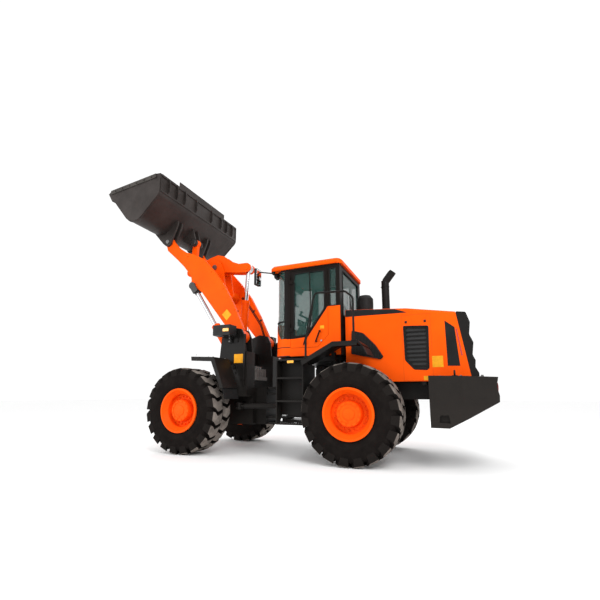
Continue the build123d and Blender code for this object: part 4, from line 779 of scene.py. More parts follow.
boxes("cab_subframe", [(-1.29, -0.12, -0.60, 0.60, 1.66, 1.757), (-1.27, -1.19, -0.62, -0.50, 1.60, 1.66),
                       (-1.27, -1.19, 0.50, 0.62, 1.60, 1.66)], "black", "rear_body", 0.004)
# Roof trim and lamps
boxes("roof_gutter", [(-1.30, -0.02, 0.772, 0.797, 3.425, 3.437)], "orange", "rear_body", 0.003, True)
housing = bmesh.new()
glass_part = bmesh.new()
for y in (-0.48, 0.48):
    # A round housing with its yoke's plate and two cheeks
    back = (-0.005, y, ROOF_LAMP_Z)
    solid_lathe(housing, [(0.016, 0.0), (0.030, 0.004), (0.037, 0.020), (0.040, 0.050), (0.040, 0.056),
                          (0.036, 0.056)], back, FRONT, 28)
    block(housing, 0.006, 0.038, y - 0.047, y + 0.047, 3.405, 3.414)
    for edge in (y - 0.046, y + 0.041):
        block(housing, 0.012, 0.032, edge, edge + 0.005, 3.355, 3.407)
    solid_lathe(glass_part, [(0.0355, 0.0), (0.0355, 0.002), (0.024, 0.006), (0.001, 0.007)],
                (0.049, y, ROOF_LAMP_Z), FRONT, 28)
lamps_housing = finish_mesh("roof_lamp_housings", housing, "plastic", "rear_body", 0.0015, 1)
finish_mesh("roof_lamp_lenses", glass_part, "clear", "rear_body")
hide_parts("roof_lamps")
# Work lamps under the roof's front edge
bm = bmesh.new()
for y in (-0.60, 0.60):
    solid_lathe(bm, [(0.018, -0.045), (0.043, -0.030), (0.048, 0.0), (0.048, 0.028), (0.043, 0.031)],
                (-0.005, y, ROOF_LAMP_Z), FRONT, 28)
    block(bm, -0.012, 0.012, y - 0.012, y + 0.012, 3.39, 3.414)
finish_mesh("work_lamps", bm, "plastic", "rear_body", 0.0015, 1)
bm = bmesh.new()
for y in (-0.60, 0.60):
    solid_lathe(bm, [(0.042, 0.0), (0.040, 0.004), (0.001, 0.007)], (0.025, y, ROOF_LAMP_Z), FRONT, 28)
finish_mesh("work_lamp_lenses", bm, "clear", "rear_body")
# Wipers
for name, x, y, z0, way in (("front_wiper", -0.012, 0.10, 2.36, 1),
                            ("rear_wiper", -1.338, -0.05, 2.42, -1)):
    bm = bmesh.new()
    solid_lathe(bm, [(0.020, -0.01), (0.020, 0.016), (0.012, 0.024)], (x, y, z0), (way, 0, 0), 20)
    finish_mesh(name + "_pivot", bm, "plastic", "rear_body", 0.001, 1)
    out = x + way * 0.02
    tube(name + "_arm",
         [(out, y, z0), (out, y + 0.10, z0 + 0.25), (out - way * 0.012, y + 0.16, z0 + 0.42)], 0.006,
         "plastic", "rear_body")
    lie = x + way * 0.006
    boxes(name + "_blade", [(lie - 0.004, lie + 0.004, y + 0.152, y + 0.166, z0 + 0.14, z0 + 0.66),
                            (lie - 0.007, lie + 0.007, y + 0.150, y + 0.168, z0 + 0.38, z0 + 0.44)],
          "plastic", "rear_body", 0.001)
# Mirrors
bm = bmesh.new()
head = [(0.196, 0.845), (0.245, 0.850), (0.264, 0.875), (0.264, 1.005), (0.245, 1.030), (0.196, 1.035)]
prism(bm, [(x, y, 3.112) for x, y in head], (0, 0, 0.316))
finish_pair("mirror_head", bm, "plastic", "rear_body", 0.010, 3)
boxes("mirror_pane", [(0.1935, 0.1985, 0.853, 1.027, 3.124, 3.416)], "mirror", "rear_body", 0.002, True)
arm = tube("mirror_arm",
           [(0.0, 0.73, 3.382), (0.17, 0.88, 3.382), (0.222, 0.935, 3.370), (0.225, 0.940, 3.30)], 0.012,
           "plastic", "rear_body", False, 0, True, 4)
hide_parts("mirrors")
boxes("mirror_foot", [(-0.03, 0.02, 0.70, 0.75, 3.364, 3.413), (-0.02, 0.01, 0.71, 0.74, 3.35, 3.366)],
      "plastic", "rear_body", 0.004, True)

# Hood: its side face, the radius of its shoulders its labels' inner plane and its seams' two planes
HOOD_Y = 0.62
HOOD_ROUND = 0.046
LABEL_Y = 0.616
SEAM_DEPTH = (0.618, 0.6206)


def hood_top(x):
    """Height of the hood's top line."""
    line = [(-1.385, 2.570), (-2.420, 2.512), (-3.184, 2.390)]
    for (xa, za), (xb, zb) in zip(line, line[1:]):
        if x >= xb:
            return za + (zb - za) * (x - xa) / (xb - xa)
    return line[-1][1]


def hood_skin(x, z, out):
    """A point on the hood's side or on its rounded shoulder, at a height."""
    shoulder = hood_top(x) - HOOD_ROUND
    if z <= shoulder:
        return (x, HOOD_Y + out, z)
    rise = min((z - shoulder) / HOOD_ROUND, 1.0)
    a = math.asin(rise)
    r = HOOD_ROUND + out
    return (x, HOOD_Y - HOOD_ROUND + r * math.cos(a), shoulder + r * math.sin(a))


def hood_patch(name, low, high, material, columns=26, rows=7, out=0.0018):
    """A thin skin on the hood between two lines, each a list of (x, z)."""
    def at(line, t):
        span = line[-1][0] - line[0][0]
        x = line[0][0] + span * t
        for (xa, za), (xb, zb) in zip(line, line[1:]):
            if (x - xa) * (x - xb) <= 1e-9:
                return x, za + (zb - za) * (x - xa) / (xb - xa)
        return line[-1]
    bm = bmesh.new()
    grids = []
    for depth in (out, -0.003):
        grid = []
        for i in range(columns + 1):
            t = i / columns
            x, z0 = at(low, t)
            z1 = at(high, t)[1]
            grid.append([bm.verts.new(hood_skin(x, z0 + (z1 - z0) * j / rows, depth))
                         for j in range(rows + 1)])
        grids.append(grid)
    front, back = grids
    for i in range(columns):
        for j in range(rows):
            bm.faces.new((front[i][j], front[i + 1][j], front[i + 1][j + 1], front[i][j + 1]))
            bm.faces.new((back[i][j], back[i][j + 1], back[i + 1][j + 1], back[i + 1][j]))
        bm.faces.new((front[i][0], back[i][0], back[i + 1][0], front[i + 1][0]))
        bm.faces.new((front[i][rows], front[i + 1][rows], back[i + 1][rows], back[i][rows]))
    for j in range(rows):
        bm.faces.new((front[0][j], front[0][j + 1], back[0][j + 1], back[0][j]))
        bm.faces.new((front[columns][j], back[columns][j], back[columns][j + 1], front[columns][j + 1]))
    finish_pair(name, bm, material, "rear_body")


hood_patch("hood_stripe", [(-1.388, 2.434), (-2.434, 2.428), (-2.440, 2.430)],
           [(-1.388, 2.562), (-1.80, 2.538), (-2.247, 2.506), (-2.440, 2.432)], "stripe")
hood_marks = (("flash", "stripe", 0.6216,
               [(-3.019, 2.25), (-3.160, 2.133), (-3.205, 1.52), (-3.027, 1.525)]),
              # The reflector glows with the red lens: painted light
              ("reflector", "red", 0.6218,
               [(-3.172, 2.107), (-3.194, 2.107), (-3.252, 1.68), (-3.230, 1.68)]),
              ("label", "label", 0.6214,
               [(-2.800, 1.687), (-2.963, 1.687), (-2.963, 1.508), (-2.800, 1.508)]),
              ("foot_label", "label", 0.6214,
               [(-2.66, 1.372), (-2.745, 1.372), (-2.745, 1.305), (-2.66, 1.305)]),
              ("fleck", "silver", 0.6214,
               [(-1.885, 1.43), (-1.955, 1.43), (-1.955, 1.37), (-1.885, 1.37)]),)
for name, look, face, points in hood_marks:
    side_panel("hood_" + name, points, LABEL_Y, face, look, "rear_body", 0.0, True)
opening = [(-2.372, 2.205), (-2.771, 2.185), (-2.752, 1.493), (-2.722, 1.466), (-2.517, 1.480),
           (-2.381, 1.636)]
side_panel("grille_backing", opening, 0.584, 0.590, "mesh", "rear_body", 0.0, True)
inner = round_corners([(-2.378, 2.199), (-2.765, 2.179), (-2.746, 1.497), (-2.719, 1.472),
                       (-2.519, 1.486), (-2.387, 1.638)], 0.02)
seal("grille_seal", inner, 0.6200, "gasket", "rear_body", 0.008, True)
latches = [(x - 0.018, x + 0.018, 0.617, 0.628, 2.245, 2.285) for x in (-2.42, -2.72)]
latches += [(x - 0.016, x + 0.016, 0.628, 0.634, 2.252, 2.266) for x in (-2.42, -2.72)]
boxes("hood_latches", latches, "plastic", "rear_body", 0.003, True)
# The hood door's outline as thin darker orange strips: painted shade in the gaps round it
for i, z in enumerate((1.30, 2.38)):
    boxes("hood_seam_%d" % i, [(-2.805, -2.355, *SEAM_DEPTH, z, z + 0.003)], "orange_seam_shade", "rear_body",
          0.0, True)
for i, x in enumerate((-2.355, -2.805)):
    boxes("hood_joint_%d" % i, [(x, x + 0.003, *SEAM_DEPTH, 1.30, 2.383)], "orange_seam_shade", "rear_body",
          0.0, True)
fin = [(-1.512, 2.168), (-1.700, 2.114), (-1.897, 1.900), (-2.010, 1.712), (-1.975, 1.676), (-1.500, 1.780)]


def fin_height(x, top):
    """Height of the intake's upper or lower edge at x, or None outside it."""
    pts = fin[:4] if top else [fin[5], fin[4]]
    for (xa, za), (xb, zb) in zip(pts, pts[1:]):
        if xb <= x <= xa:
            return za + (zb - za) * (x - xa) / (xb - xa)
    return None


bm = bmesh.new()
for i in range(17):
    x = -1.53 - 0.026 * i
    low, high = fin_height(x, False), fin_height(x, True)
    if low is None or high is None or high - low < 0.05:
        continue
    block(bm, x, x - 0.011, 0.640, 0.6465, low + 0.014, high - 0.016)
finish_pair("intake_fins", bm, "plastic", "rear_body", 0.0015, 1, False)
tube("intake_lip", [(x, 0.642, z) for x, z in round_corners(fin, 0.03)], 0.006, "plastic", "rear_body",
     True, 0, True, 2)
# Stack and pre-cleaner: the plan points of their axes
STACK_X = -1.985
STACK_Y = -0.10
CLEANER_X = -1.610
bm = bmesh.new()
lathe(bm, [(0.056, 0.0), (0.070, 0.0), (0.078, 0.012), (0.078, 0.030), (0.056, 0.030)],
      (STACK_X, STACK_Y, 2.560), UP, 40)
for z in (2.60, 3.10):
    lathe(bm, [(0.070, 0.0), (0.0765, 0.0), (0.0765, 0.022), (0.070, 0.022)], (STACK_X, STACK_Y, z), UP,
          40)
for z in (2.611, 3.111):
    bolts(bm, [(STACK_X + 0.078, STACK_Y, z)], FRONT, 0.007, 0.012)
finish_mesh("stack_clamps", bm, "black", "rear_body", 0.001, 1)
bm = bmesh.new()
for z in (2.664, 2.700, 2.865):
    lathe(bm, [(0.146, 0.0), (0.1535, 0.003), (0.1535, 0.009), (0.146, 0.012)], (CLEANER_X, 0, z), UP, 56)
solid_lathe(bm, [(0.045, 0.0), (0.045, 0.006), (0.028, 0.010), (0.012, 0.012)], (CLEANER_X, 0, 2.932), UP,
            28)
for i in range(28):
    a = 2 * math.pi * i / 28
    d = Vector((math.cos(a), math.sin(a), 0))
    side = Vector((-d.y, d.x, 0)) * 0.004
    c = Vector((CLEANER_X, 0, 2.72)) + d * 0.148
    prism(bm, [c - side, c + side, c + side + d * 0.005, c - side + d * 0.005], (0, 0, 0.13))
finish_mesh("cleaner_ribs", bm, "plastic", "rear_body", 0.001, 1)
bm = bmesh.new()
lathe(bm, [(0.066, 0.0), (0.078, 0.0), (0.078, 0.018), (0.066, 0.018)], (CLEANER_X, 0, 2.60), UP, 40)
finish_mesh("cleaner_clamp", bm, "steel", "rear_body", 0.001, 1)
# Counterweight: its rear face and the face of the tail lamps let into it
REAR_FACE = -3.700
TAIL_FACE = -3.688
bm = bmesh.new()
for s in (-1, 1):
    lathe(bm, [(0.040, -0.004), (0.052, -0.004), (0.052, 0.006), (0.040, 0.006)],
          (TAIL_FACE, s * 0.71, 1.19), BACK, 32)
    block(bm, -3.640, -3.684, s * 0.776, s * 0.781, 1.135, 1.245)
finish_mesh("tail_lamp_rims", bm, "plastic", "rear_body", 0.001, 1)
bm = bmesh.new()
for s in (-1, 1):
    solid_lathe(bm, [(0.039, 0.0), (0.038, 0.005), (0.02, 0.010), (0.001, 0.011)],
                (TAIL_FACE, s * 0.71, 1.19), BACK, 28)
finish_mesh("tail_lamp_domes", bm, "red", "rear_body")
# These reflectors glow with the red lens: painted light
boxes("tail_reflectors", [(-3.7070, REAR_FACE, 0.33, 0.45, 1.16, 1.20)], "red", "rear_body", 0.002, True)
boxes("rear_plate", [(-3.7085, REAR_FACE, -0.22, 0.22, 1.17, 1.29)], "silver", "rear_body", 0.002)
bm = bmesh.new()
bolts(bm, [(-3.7085, s * 0.20, z) for s in (-1, 1) for z in (1.185, 1.275)], BACK, 0.006, 0.006)
bolts(bm, [(x, s * 0.62, 1.352) for s in (-1, 1) for x in (-2.90, -3.20, -3.50)], UP, 0.020, 0.024)
finish_mesh("cw_bolts", bm, "steel", "rear_body")
bm = bmesh.new()
for s in (-1, 1):
    lathe(bm, [(0.034, -0.014), (0.052, -0.008), (0.052, 0.008), (0.034, 0.014)],
          (-3.12, s * 1.02, 1.385), FRONT, 28)
    block(bm, -3.16, -3.08, s * 1.02 - 0.03, s * 1.02 + 0.03, 1.350, 1.358)
finish_mesh("cw_lifting_rings", bm, "cw", "rear_body", 0.001, 1)
bm = bmesh.new()
solid_lathe(bm, [(0.034, 0.0), (0.034, 0.012), (0.026, 0.020), (0.012, 0.022)], (-3.575, 0.0, 1.352), UP,
            28)
finish_mesh("tow_pin_cap", bm, "steel", "rear_body", 0.001, 1)
# Fenders
bm = bmesh.new()
flap = [(-1.768, 1.866), (-1.846, 1.800), (-1.900, 1.690), (-1.912, 1.690), (-1.856, 1.806),
        (-1.774, 1.884)]
prism(bm, [(x, 0.80, z) for x, z in flap], (0, 0.52, 0))
finish_pair("rear_fender_flap", bm, "gasket", "rear_body", 0.002, 1, False)
bm = bmesh.new()
for i in range(9):
    x = -1.42 - 0.040 * i
    block(bm, x, x - 0.010, 0.80, 1.26, 1.906, 1.912)
finish_pair("fender_grip", bm, "gasket", "rear_body", 0.001, 1, False)
bm = bmesh.new()
for x in (-0.907, -1.712):
    base = 1.6 + (x + 0.83) * 0.29 / -0.54 + 0.018 if x > -1.37 else 1.905
    solid_lathe(bm, [(0.045, 0.0), (0.045, 0.010), (0.024, 0.012)], (x, 1.32, base - 0.002), UP, 24)
finish_pair("rail_feet", bm, "black", "rear_body", 0.001, 1)
# Steps and tank
step_z = (0.580, 0.955, 1.340)
grip = []
for z in step_z:
    for i in range(12):
        x = -0.775 + 0.0412 * i
        grip.append((x, x + 0.022, 1.128, 1.148, z + 0.026, z + 0.032))
        grip.append((x + 0.010, x + 0.032, 1.010, 1.026, z + 0.026, z + 0.032))
boxes("step_grip", grip, "black", "rear_body", 0.001, True)
plat = [(-0.77 + 0.044 * i, -0.745 + 0.044 * i, 0.80, 1.13, 1.680, 1.686) for i in range(11)]
boxes("platform_grip", plat, "black", "rear_body", 0.001, True)
boxes("side_marker", [(-0.625, -0.497, 1.1485, 1.158, 1.600, 1.655)], "plastic", "rear_body", 0.003, True)
boxes("side_marker_lens", [(-0.619, -0.503, 1.157, 1.166, 1.606, 1.649)], "amber", "rear_body", 0.004, True)
bm = bmesh.new()
bolts(bm, [(x, 1.150, z) for x in (-0.781, -0.299) for z in (0.66, 0.90, 1.10, 1.30, 1.56)], LEFT, 0.009,
      0.008)
finish_pair("step_bolts", bm, "black", "rear_body")
bm = bmesh.new()
cap = [(0.055, 0.0), (0.055, 0.020), (0.062, 0.022), (0.062, 0.050), (0.050, 0.056), (0.02, 0.058)]
solid_lathe(bm, cap, (-0.62, 0.84, 1.598), UP, 32)
block(bm, -0.68, -0.56, 0.834, 0.846, 1.652, 1.664)
finish_pair("tank_cap", bm, "plastic", "rear_body", 0.002, 1)
straps = []
for x in (-0.690, -0.500):
    straps.append((x, x + 0.04, 0.929, 0.934, 0.70, 1.59))
boxes("tank_straps", straps, "black", "rear_body", 0.001, True)
tube("level_gauge", [(-0.44, 0.936, 1.05), (-0.44, 0.936, 1.35)], 0.007, "clear", "rear_body", False, 0,
     True, 3)
boxes("level_gauge_ends", [(-0.452, -0.428, 0.928, 0.946, z, z + 0.02) for z in (1.035, 1.345)], "steel",
      "rear_body", 0.002, True)

# Interior


# How far the cushions' faces pull in, and how the cloth inflates them
CROWN_PULL = 0.025
SIDE_PULL = 0.03
ROUND_FROM = 0.8
ROUND_BY = 0.28
CLOTH_PRESSURE = 4.0
CLOTH_FRAMES = 20


def cushion(name, size, crown, at, turn, voxel, cap, limit_axis):
    """A filled pad: a rounded block with crowned faces, inflated by cloth."""
    bm = bmesh.new()
    bmesh.ops.create_cube(bm, size=1.0)
    bmesh.ops.subdivide_edges(bm, edges=bm.edges, cuts=9, use_grid_fill=True)
    for v in bm.verts:
        x, y, z = v.co * 2
        y_pull = SIDE_PULL * (1 - x * x) * (abs(y) > 0.99)
        x_pull = SIDE_PULL * (1 - y * y) * (abs(x) > 0.99)
        pull = 1.0 - CROWN_PULL * z * z - y_pull - x_pull
        v.co = Vector((x * size[0] / 2 * pull, y * size[1] / 2 * pull, z * size[2] / 2))
        v.co.z += crown * (1 - x * x) * (1 - y * y) * (1 if z > 0 else -0.3)
        edge = max(abs(x), abs(y))
        if edge > ROUND_FROM:
            v.co.z *= 1.0 - ROUND_BY * ((edge - ROUND_FROM) / (1.0 - ROUND_FROM)) ** 2
    bmesh.ops.recalc_face_normals(bm, faces=bm.faces)
    mesh = bpy.data.meshes.new(name)
    bm.to_mesh(mesh)
    bm.free()
    obj = bpy.data.objects.new(name, mesh)
    bpy.context.scene.collection.objects.link(obj)
    r = obj.modifiers.new("remesh", "REMESH")
    r.mode = "VOXEL"
    r.voxel_size = voxel
    apply_all(obj)
    rest = [v.co.copy() for v in obj.data.vertices]
    cloth = obj.modifiers.new("cloth", "CLOTH")
    cloth.settings.use_pressure = True
    cloth.settings.uniform_pressure_force = CLOTH_PRESSURE
    cloth.settings.effector_weights.gravity = 0.0
    cloth.settings.quality = 5
    scene = bpy.context.scene
    for frame_number in range(1, CLOTH_FRAMES + 1):
        scene.frame_set(frame_number)
    apply_all(obj)
    scene.frame_set(1)
    for v, r0 in zip(obj.data.vertices, rest):
        move = v.co - r0
        if move.length > cap:
            v.co = r0 + move.normalized() * cap
        v.co[limit_axis] = max(min(v.co[limit_axis], size[limit_axis] / 2 + crown),
                               -size[limit_axis] / 2)
    obj.data.transform(Matrix.Translation(at) @ Matrix.Rotation(turn, 4, "Y"))
    s = obj.modifiers.new("subdivision", "SUBSURF")
    s.levels = 1
    s.render_levels = 1
    for p in obj.data.polygons:
        p.use_smooth = True
    obj.data.materials.append(mat["seat"])
    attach(obj, "rear_body")
    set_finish(obj, slot_of["seat"])
    return obj


def apply_all(obj):
    """Turns the object's modifiers into its mesh."""
    graph = bpy.context.evaluated_depsgraph_get()
    made = bpy.data.meshes.new_from_object(obj.evaluated_get(graph))
    obj.modifiers.clear()
    obj.data = made


base = cushion("seat_cushion", (0.49, 0.49, 0.10), 0.012, (-0.855, 0, 2.196), 0.0, 0.010, 0.008, 2)
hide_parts("seat")
cushion("seat_back", (0.095, 0.47, 0.56), 0.0, (-1.110, 0, 2.560), -0.149, 0.010, 0.008, 0)
for i, y in enumerate((-0.12, 0.12)):
    seam = [(-1.075, y, 2.256), (-0.95, y, 2.260), (-0.80, y, 2.262), (-0.66, y, 2.252)]
    tube("seat_piping_%d" % i, seam, 0.004, "seat", "rear_body", False, 1)
bm = bmesh.new()
for i in range(7):
    z = 1.83 + 0.036 * i
    w = 0.150 if i % 2 else 0.172
    lathe(bm, [(w - 0.03, 0.0), (w, 0.006), (w, 0.024), (w - 0.03, 0.030)], (-0.86, 0, z), UP, 28)
finish_mesh("seat_bellows", bm, "gasket", "rear_body")
boxes("seat_frame", [(-1.05, -0.66, -0.20, 0.20, 1.806, 1.836), (-1.06, -0.64, -0.22, 0.22, 2.085, 2.130),
                     (-1.12, -1.07, -0.10, 0.10, 2.13, 2.34)], "plastic", "rear_body", 0.008)
for name, s in (("left", 1), ("right", -1)):
    bm = bmesh.new()
    block(bm, -1.10, -0.80, s * 0.27, s * 0.33, 2.40, 2.445)
    block(bm, -1.12, -1.07, s * 0.255, s * 0.29, 2.20, 2.42)
    finish_mesh("armrest_" + name, bm, "plastic", "rear_body", 0.012, 3, False)
tube("seat_belt", [(-1.05, 0.24, 2.15), (-0.98, 0.262, 2.255), (-0.93, 0.24, 2.270)], 0.011, "gasket",
     "rear_body", False, 1)
# Steering column
bm = bmesh.new()
hub_at = Vector((-0.440, 0, 2.586))
axis = (hub_at - Vector((-0.350, 0, 2.406))).normalized()
lathe(bm, [(0.189, 0.0), (0.193, 0.013), (0.205, 0.018), (0.217, 0.013), (0.221, 0.0), (0.217, -0.013),
           (0.205, -0.018), (0.193, -0.013)], hub_at, axis, 56)
solid_lathe(bm, [(0.030, -0.05), (0.050, -0.02), (0.055, 0.006), (0.040, 0.016), (0.012, 0.018)], hub_at,
            axis, 28)
wheel = finish_mesh("steering_wheel", bm, "plastic", "rear_body")
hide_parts("steering_console")
u = axis.orthogonal().normalized()
v = axis.cross(u)
for i in range(3):
    a = 2 * math.pi * i / 3 + 0.5
    d = u * math.cos(a) + v * math.sin(a)
    tube("wheel_spoke_%d" % i, [hub_at + d * 0.04, hub_at + d * 0.12 - axis * 0.008, hub_at + d * 0.196],
         0.011, "plastic", "rear_body")
bm = bmesh.new()
solid_lathe(bm, [(0.026, 0.0), (0.020, 0.02), (0.020, 0.05), (0.032, 0.065), (0.030, 0.085), (0.01, 0.092)],
            hub_at + u * 0.19, axis, 20)
finish_mesh("wheel_knob", bm, "plastic", "rear_body", 0.001, 1)
bm = bmesh.new()
prism(bm, [(-0.20, -0.11, 1.808), (-0.42, -0.11, 1.808), (-0.395, -0.11, 2.20), (-0.375, -0.11, 2.425),
           (-0.300, -0.11, 2.445), (-0.235, -0.11, 2.36)], (0, 0.22, 0))
finish_mesh("column_cover", bm, "grey", "rear_body", 0.018, 3, False)
tube("column_shaft", [(-0.350, 0, 2.41), (-0.435, 0, 2.576)], 0.027, "plastic", "rear_body")
boxes("dash_panel",
      [(-0.300, -0.265, -0.16, 0.16, 2.43, 2.56), (-0.306, -0.299, -0.14, 0.14, 2.445, 2.545)], "plastic",
      "rear_body", 0.006)
bm = bmesh.new()
for y in (-0.095, 0.0, 0.095):
    lathe(bm, [(0.030, 0.0), (0.037, 0.0), (0.037, 0.005), (0.030, 0.005)], (-0.306, y, 2.498), BACK, 28)
finish_mesh("dash_gauges", bm, "silver", "rear_body")
tube("column_lever", [(-0.36, 0.06, 2.46), (-0.39, 0.20, 2.49), (-0.39, 0.24, 2.50)], 0.007, "plastic",
     "rear_body")
boxes("right_console",
      [(-1.08, -0.52, -0.60, -0.36, 1.808, 2.26), (-0.52, -0.44, -0.58, -0.38, 1.808, 2.12)], "grey",
      "rear_body", 0.020)
for i, x in enumerate((-0.62, -0.70)):
    tube("work_lever_%d" % i, [(x, -0.46, 2.25), (x + 0.012, -0.455, 2.33), (x + 0.012, -0.45, 2.41)],
         0.008, "plastic", "rear_body")
    bm = bmesh.new()
    solid_lathe(bm, [(0.012, 0.0), (0.024, 0.018), (0.026, 0.04), (0.018, 0.058), (0.006, 0.063)],
                (x + 0.012, -0.45, 2.395), UP, 20)
    finish_mesh("work_lever_knob_%d" % i, bm, "plastic", "rear_body")
for i, y in enumerate((-0.22, 0.20)):
    boxes("pedal_%d" % i, [(-0.30, -0.20, y - 0.045, y + 0.045, 1.86, 1.872),
                           (-0.215, -0.20, y - 0.01, y + 0.01, 1.806, 1.862)], "plastic", "rear_body",
          0.004)
boxes("floor_mat", [(-1.27, -0.33, -0.70, 0.70, 1.8060, 1.8120)], "gasket", "rear_body", 0.003)
boxes("cab_side_trim",
      [(-1.10, -0.16, -0.706, -0.676, 1.95, 2.50), (-1.10, -0.16, -0.706, -0.650, 2.50, 2.54)], "plastic",
      "rear_body", 0.006)
boxes("cab_lining",
      [(-1.286, -1.262, -0.69, 0.69, 1.815, 2.44), (-1.262, -0.12, -0.62, 0.62, 3.385, 3.411)], "grey",
      "rear_body", 0.006)
boxes("sun_visor", [(-0.115, -0.10, -0.45, 0.45, 3.22, 3.40)], "plastic", "rear_body", 0.004)

# Places on the boom and in the bucket, as they stand in the picture
BOOM_FOOT = (0.790, 2.220)
BOOM_LENGTH = 3.028
BOOM_RISE = math.radians(49.42)
BUCKET_RISE = math.radians(50.0)
BOOM_C, BOOM_S = math.cos(BOOM_RISE), math.sin(BOOM_RISE)
BUCKET_C, BUCKET_S = math.cos(BUCKET_RISE), math.sin(BUCKET_RISE)


def boom_at(along, off, y):
    """A point by its distance along the boom's line of pins and square to it."""
    x = BOOM_FOOT[0] + along * BOOM_C - off * BOOM_S
    return Vector((x, y, BOOM_FOOT[1] + along * BOOM_S + off * BOOM_C))


def bucket_at(along, off, y):
    """A point by its distance along the bucket's floor and square to it, from its hinge pin."""
    base = boom_at(BOOM_LENGTH, 0.0, y)
    return base + Vector((along * BUCKET_C - off * BUCKET_S, 0, along * BUCKET_S + off * BUCKET_C))


def bucket_prism(bm, loop, y0, y1):
    """A prism between two values of y from a loop of bucket points (along, off)."""
    prism(bm, [bucket_at(a, b, y0) for a, b in loop], (0, y1 - y0, 0))


# Front frame: the towers' outer face, and the head lamps' front face and height
TOWER_Y = 0.700
HEAD_LAMP_X = 1.160
HEAD_LAMP_Z = 2.300
side_panel("tower_label", [(0.640, 1.682), (0.853, 1.682), (0.853, 1.856), (0.640, 1.856)], 0.698, 0.7016,
           "label", "front_body", 0.0, True)
bm = bmesh.new()
for x, z, r in ((0.790, 2.220, 0.060), (0.830, 1.600, 0.056)):
    solid_lathe(bm, [(r, -0.002), (r, 0.010), (r - 0.010, 0.016), (0.018, 0.016), (0.016, 0.024),
                     (0.006, 0.026)], (x, TOWER_Y, z), LEFT, 36)
    block(bm, x - 0.030, x + 0.030, TOWER_Y, TOWER_Y + 0.014, z - 0.130, z - 0.045)
finish_pair("tower_pin_caps", bm, "black", "front_body", 0.002, 1)
bm = bmesh.new()
for x, z in ((0.780, 2.110), (0.820, 1.490), (0.66, 1.60), (0.66, 1.10), (1.08, 1.10), (1.12, 1.66),
             (1.08, 2.24), (0.70, 1.36)):
    # The two bolts below the pins stand on the pins' keeper plates
    bolts(bm, [(x, 0.712 if z in (2.110, 1.490) else TOWER_Y, z)], LEFT, 0.014, 0.016)
finish_pair("tower_bolts", bm, "black", "front_body")
boxes("tower_gussets", [(0.60, 0.62, 0.700, 0.735, 1.25, 1.34), (1.150, 1.172, 0.700, 0.735, 1.16, 1.52)],
      "black", "front_body", 0.003, True)
# Valve block between the towers
spools = [(0.62, 0.84, -0.20 + 0.1 * i, -0.12 + 0.1 * i, 1.42, 1.60) for i in range(5)]
spools.append((0.60, 0.86, -0.22, 0.30, 1.36, 1.43))
boxes("valve_block", spools, "grey", "front_body", 0.006)
bm = bmesh.new()
for i in range(5):
    y = -0.16 + 0.1 * i
    solid_lathe(bm, [(0.026, 0.0), (0.026, 0.05), (0.016, 0.06)], (0.84, y, 1.51), FRONT, 20)
    solid_lathe(bm, [(0.018, 0.0), (0.018, 0.03), (0.024, 0.03), (0.024, 0.055), (0.012, 0.057)],
                (0.73, y, 1.60), UP, 6)
finish_mesh("valve_ends", bm, "steel", "front_body", 0.001, 1)
# Head lamps
bm = bmesh.new()
for y in (0.805, 0.925):
    lathe(bm, [(0.047, -0.004), (0.058, -0.004), (0.058, 0.012), (0.051, 0.014)],
          (HEAD_LAMP_X, y, HEAD_LAMP_Z), FRONT, 36)
finish_pair("head_lamp_rims", bm, "plastic", "front_body", 0.001, 1)
bm = bmesh.new()
for y in (0.805, 0.925):
    solid_lathe(bm, [(0.049, 0.0), (0.047, 0.008), (0.025, 0.014), (0.001, 0.016)],
                (HEAD_LAMP_X, y, HEAD_LAMP_Z), FRONT, 32)
finish_pair("head_lamp_panes", bm, "clear", "front_body")
boxes("side_indicator", [(0.794, 0.926, 1.006, 1.018, 2.264, 2.326)], "amber", "front_body", 0.004, True)
boxes("lamp_guard",
      [(1.148, 1.162, 0.765, 0.965, 2.384, 2.402), (1.148, 1.162, 0.765, 0.965, 2.198, 2.216)], "plastic",
      "front_body", 0.003, True)
bm = bmesh.new()
bolts(bm, [(x, 0.88, 2.200) for x in (0.86, 1.00)], DOWN, 0.010, 0.012)
bolts(bm, [(0.935, 0.760, z) for z in (2.11, 2.17)], LEFT, 0.011, 0.012)
finish_pair("lamp_arm_bolts", bm, "steel", "front_body")
# Front fenders
bm = bmesh.new()
prism(bm, [(x, 0.82, z) for x, z in ((0.705, 1.20), (0.655, 1.00), (0.667, 0.998), (0.717, 1.194))],
      (0, 0.46, 0))
finish_pair("front_fender_flap", bm, "gasket", "front_body", 0.002, 1, False)
bm = bmesh.new()
bolts(bm, [(x, y, 1.712 + 0.062 * (x - 0.92) / 0.49 + 0.041) for x in (0.96, 1.34) for y in (0.86, 1.24)],
      UP, 0.010, 0.010)
finish_pair("front_fender_bolts", bm, "steel", "front_body")
# Axles
for name, x, body in (("front", WHEEL_X, "front_body"), ("rear", -WHEEL_X, "rear_body")):
    bm = bmesh.new()
    for s in (-1, 1):
        lathe(bm, [(0.180, 0.0), (0.200, 0.0), (0.200, 0.018), (0.180, 0.018)], (x, s * 0.225, WHEEL_Z),
              (0, s, 0), 48)
        bolts(bm, ring_spots((x, s * 0.243, WHEEL_Z), (0, s, 0), 0.190, 16), (0, s, 0), 0.009, 0.012)
        bolts(bm, ring_spots((x, s * 0.934, WHEEL_Z), (0, -s, 0), 0.165, 14), (0, -s, 0), 0.010, 0.014)
    finish_mesh("axle_%s_bolts" % name, bm, "black", body, 0.001, 1)
    bm = bmesh.new()
    bolts(bm, [(x + 0.05, 0.04, 0.534), (x - 0.06, -0.05, 0.534)], DOWN, 0.016, 0.014)
    finish_mesh("axle_%s_plugs" % name, bm, "steel", body)
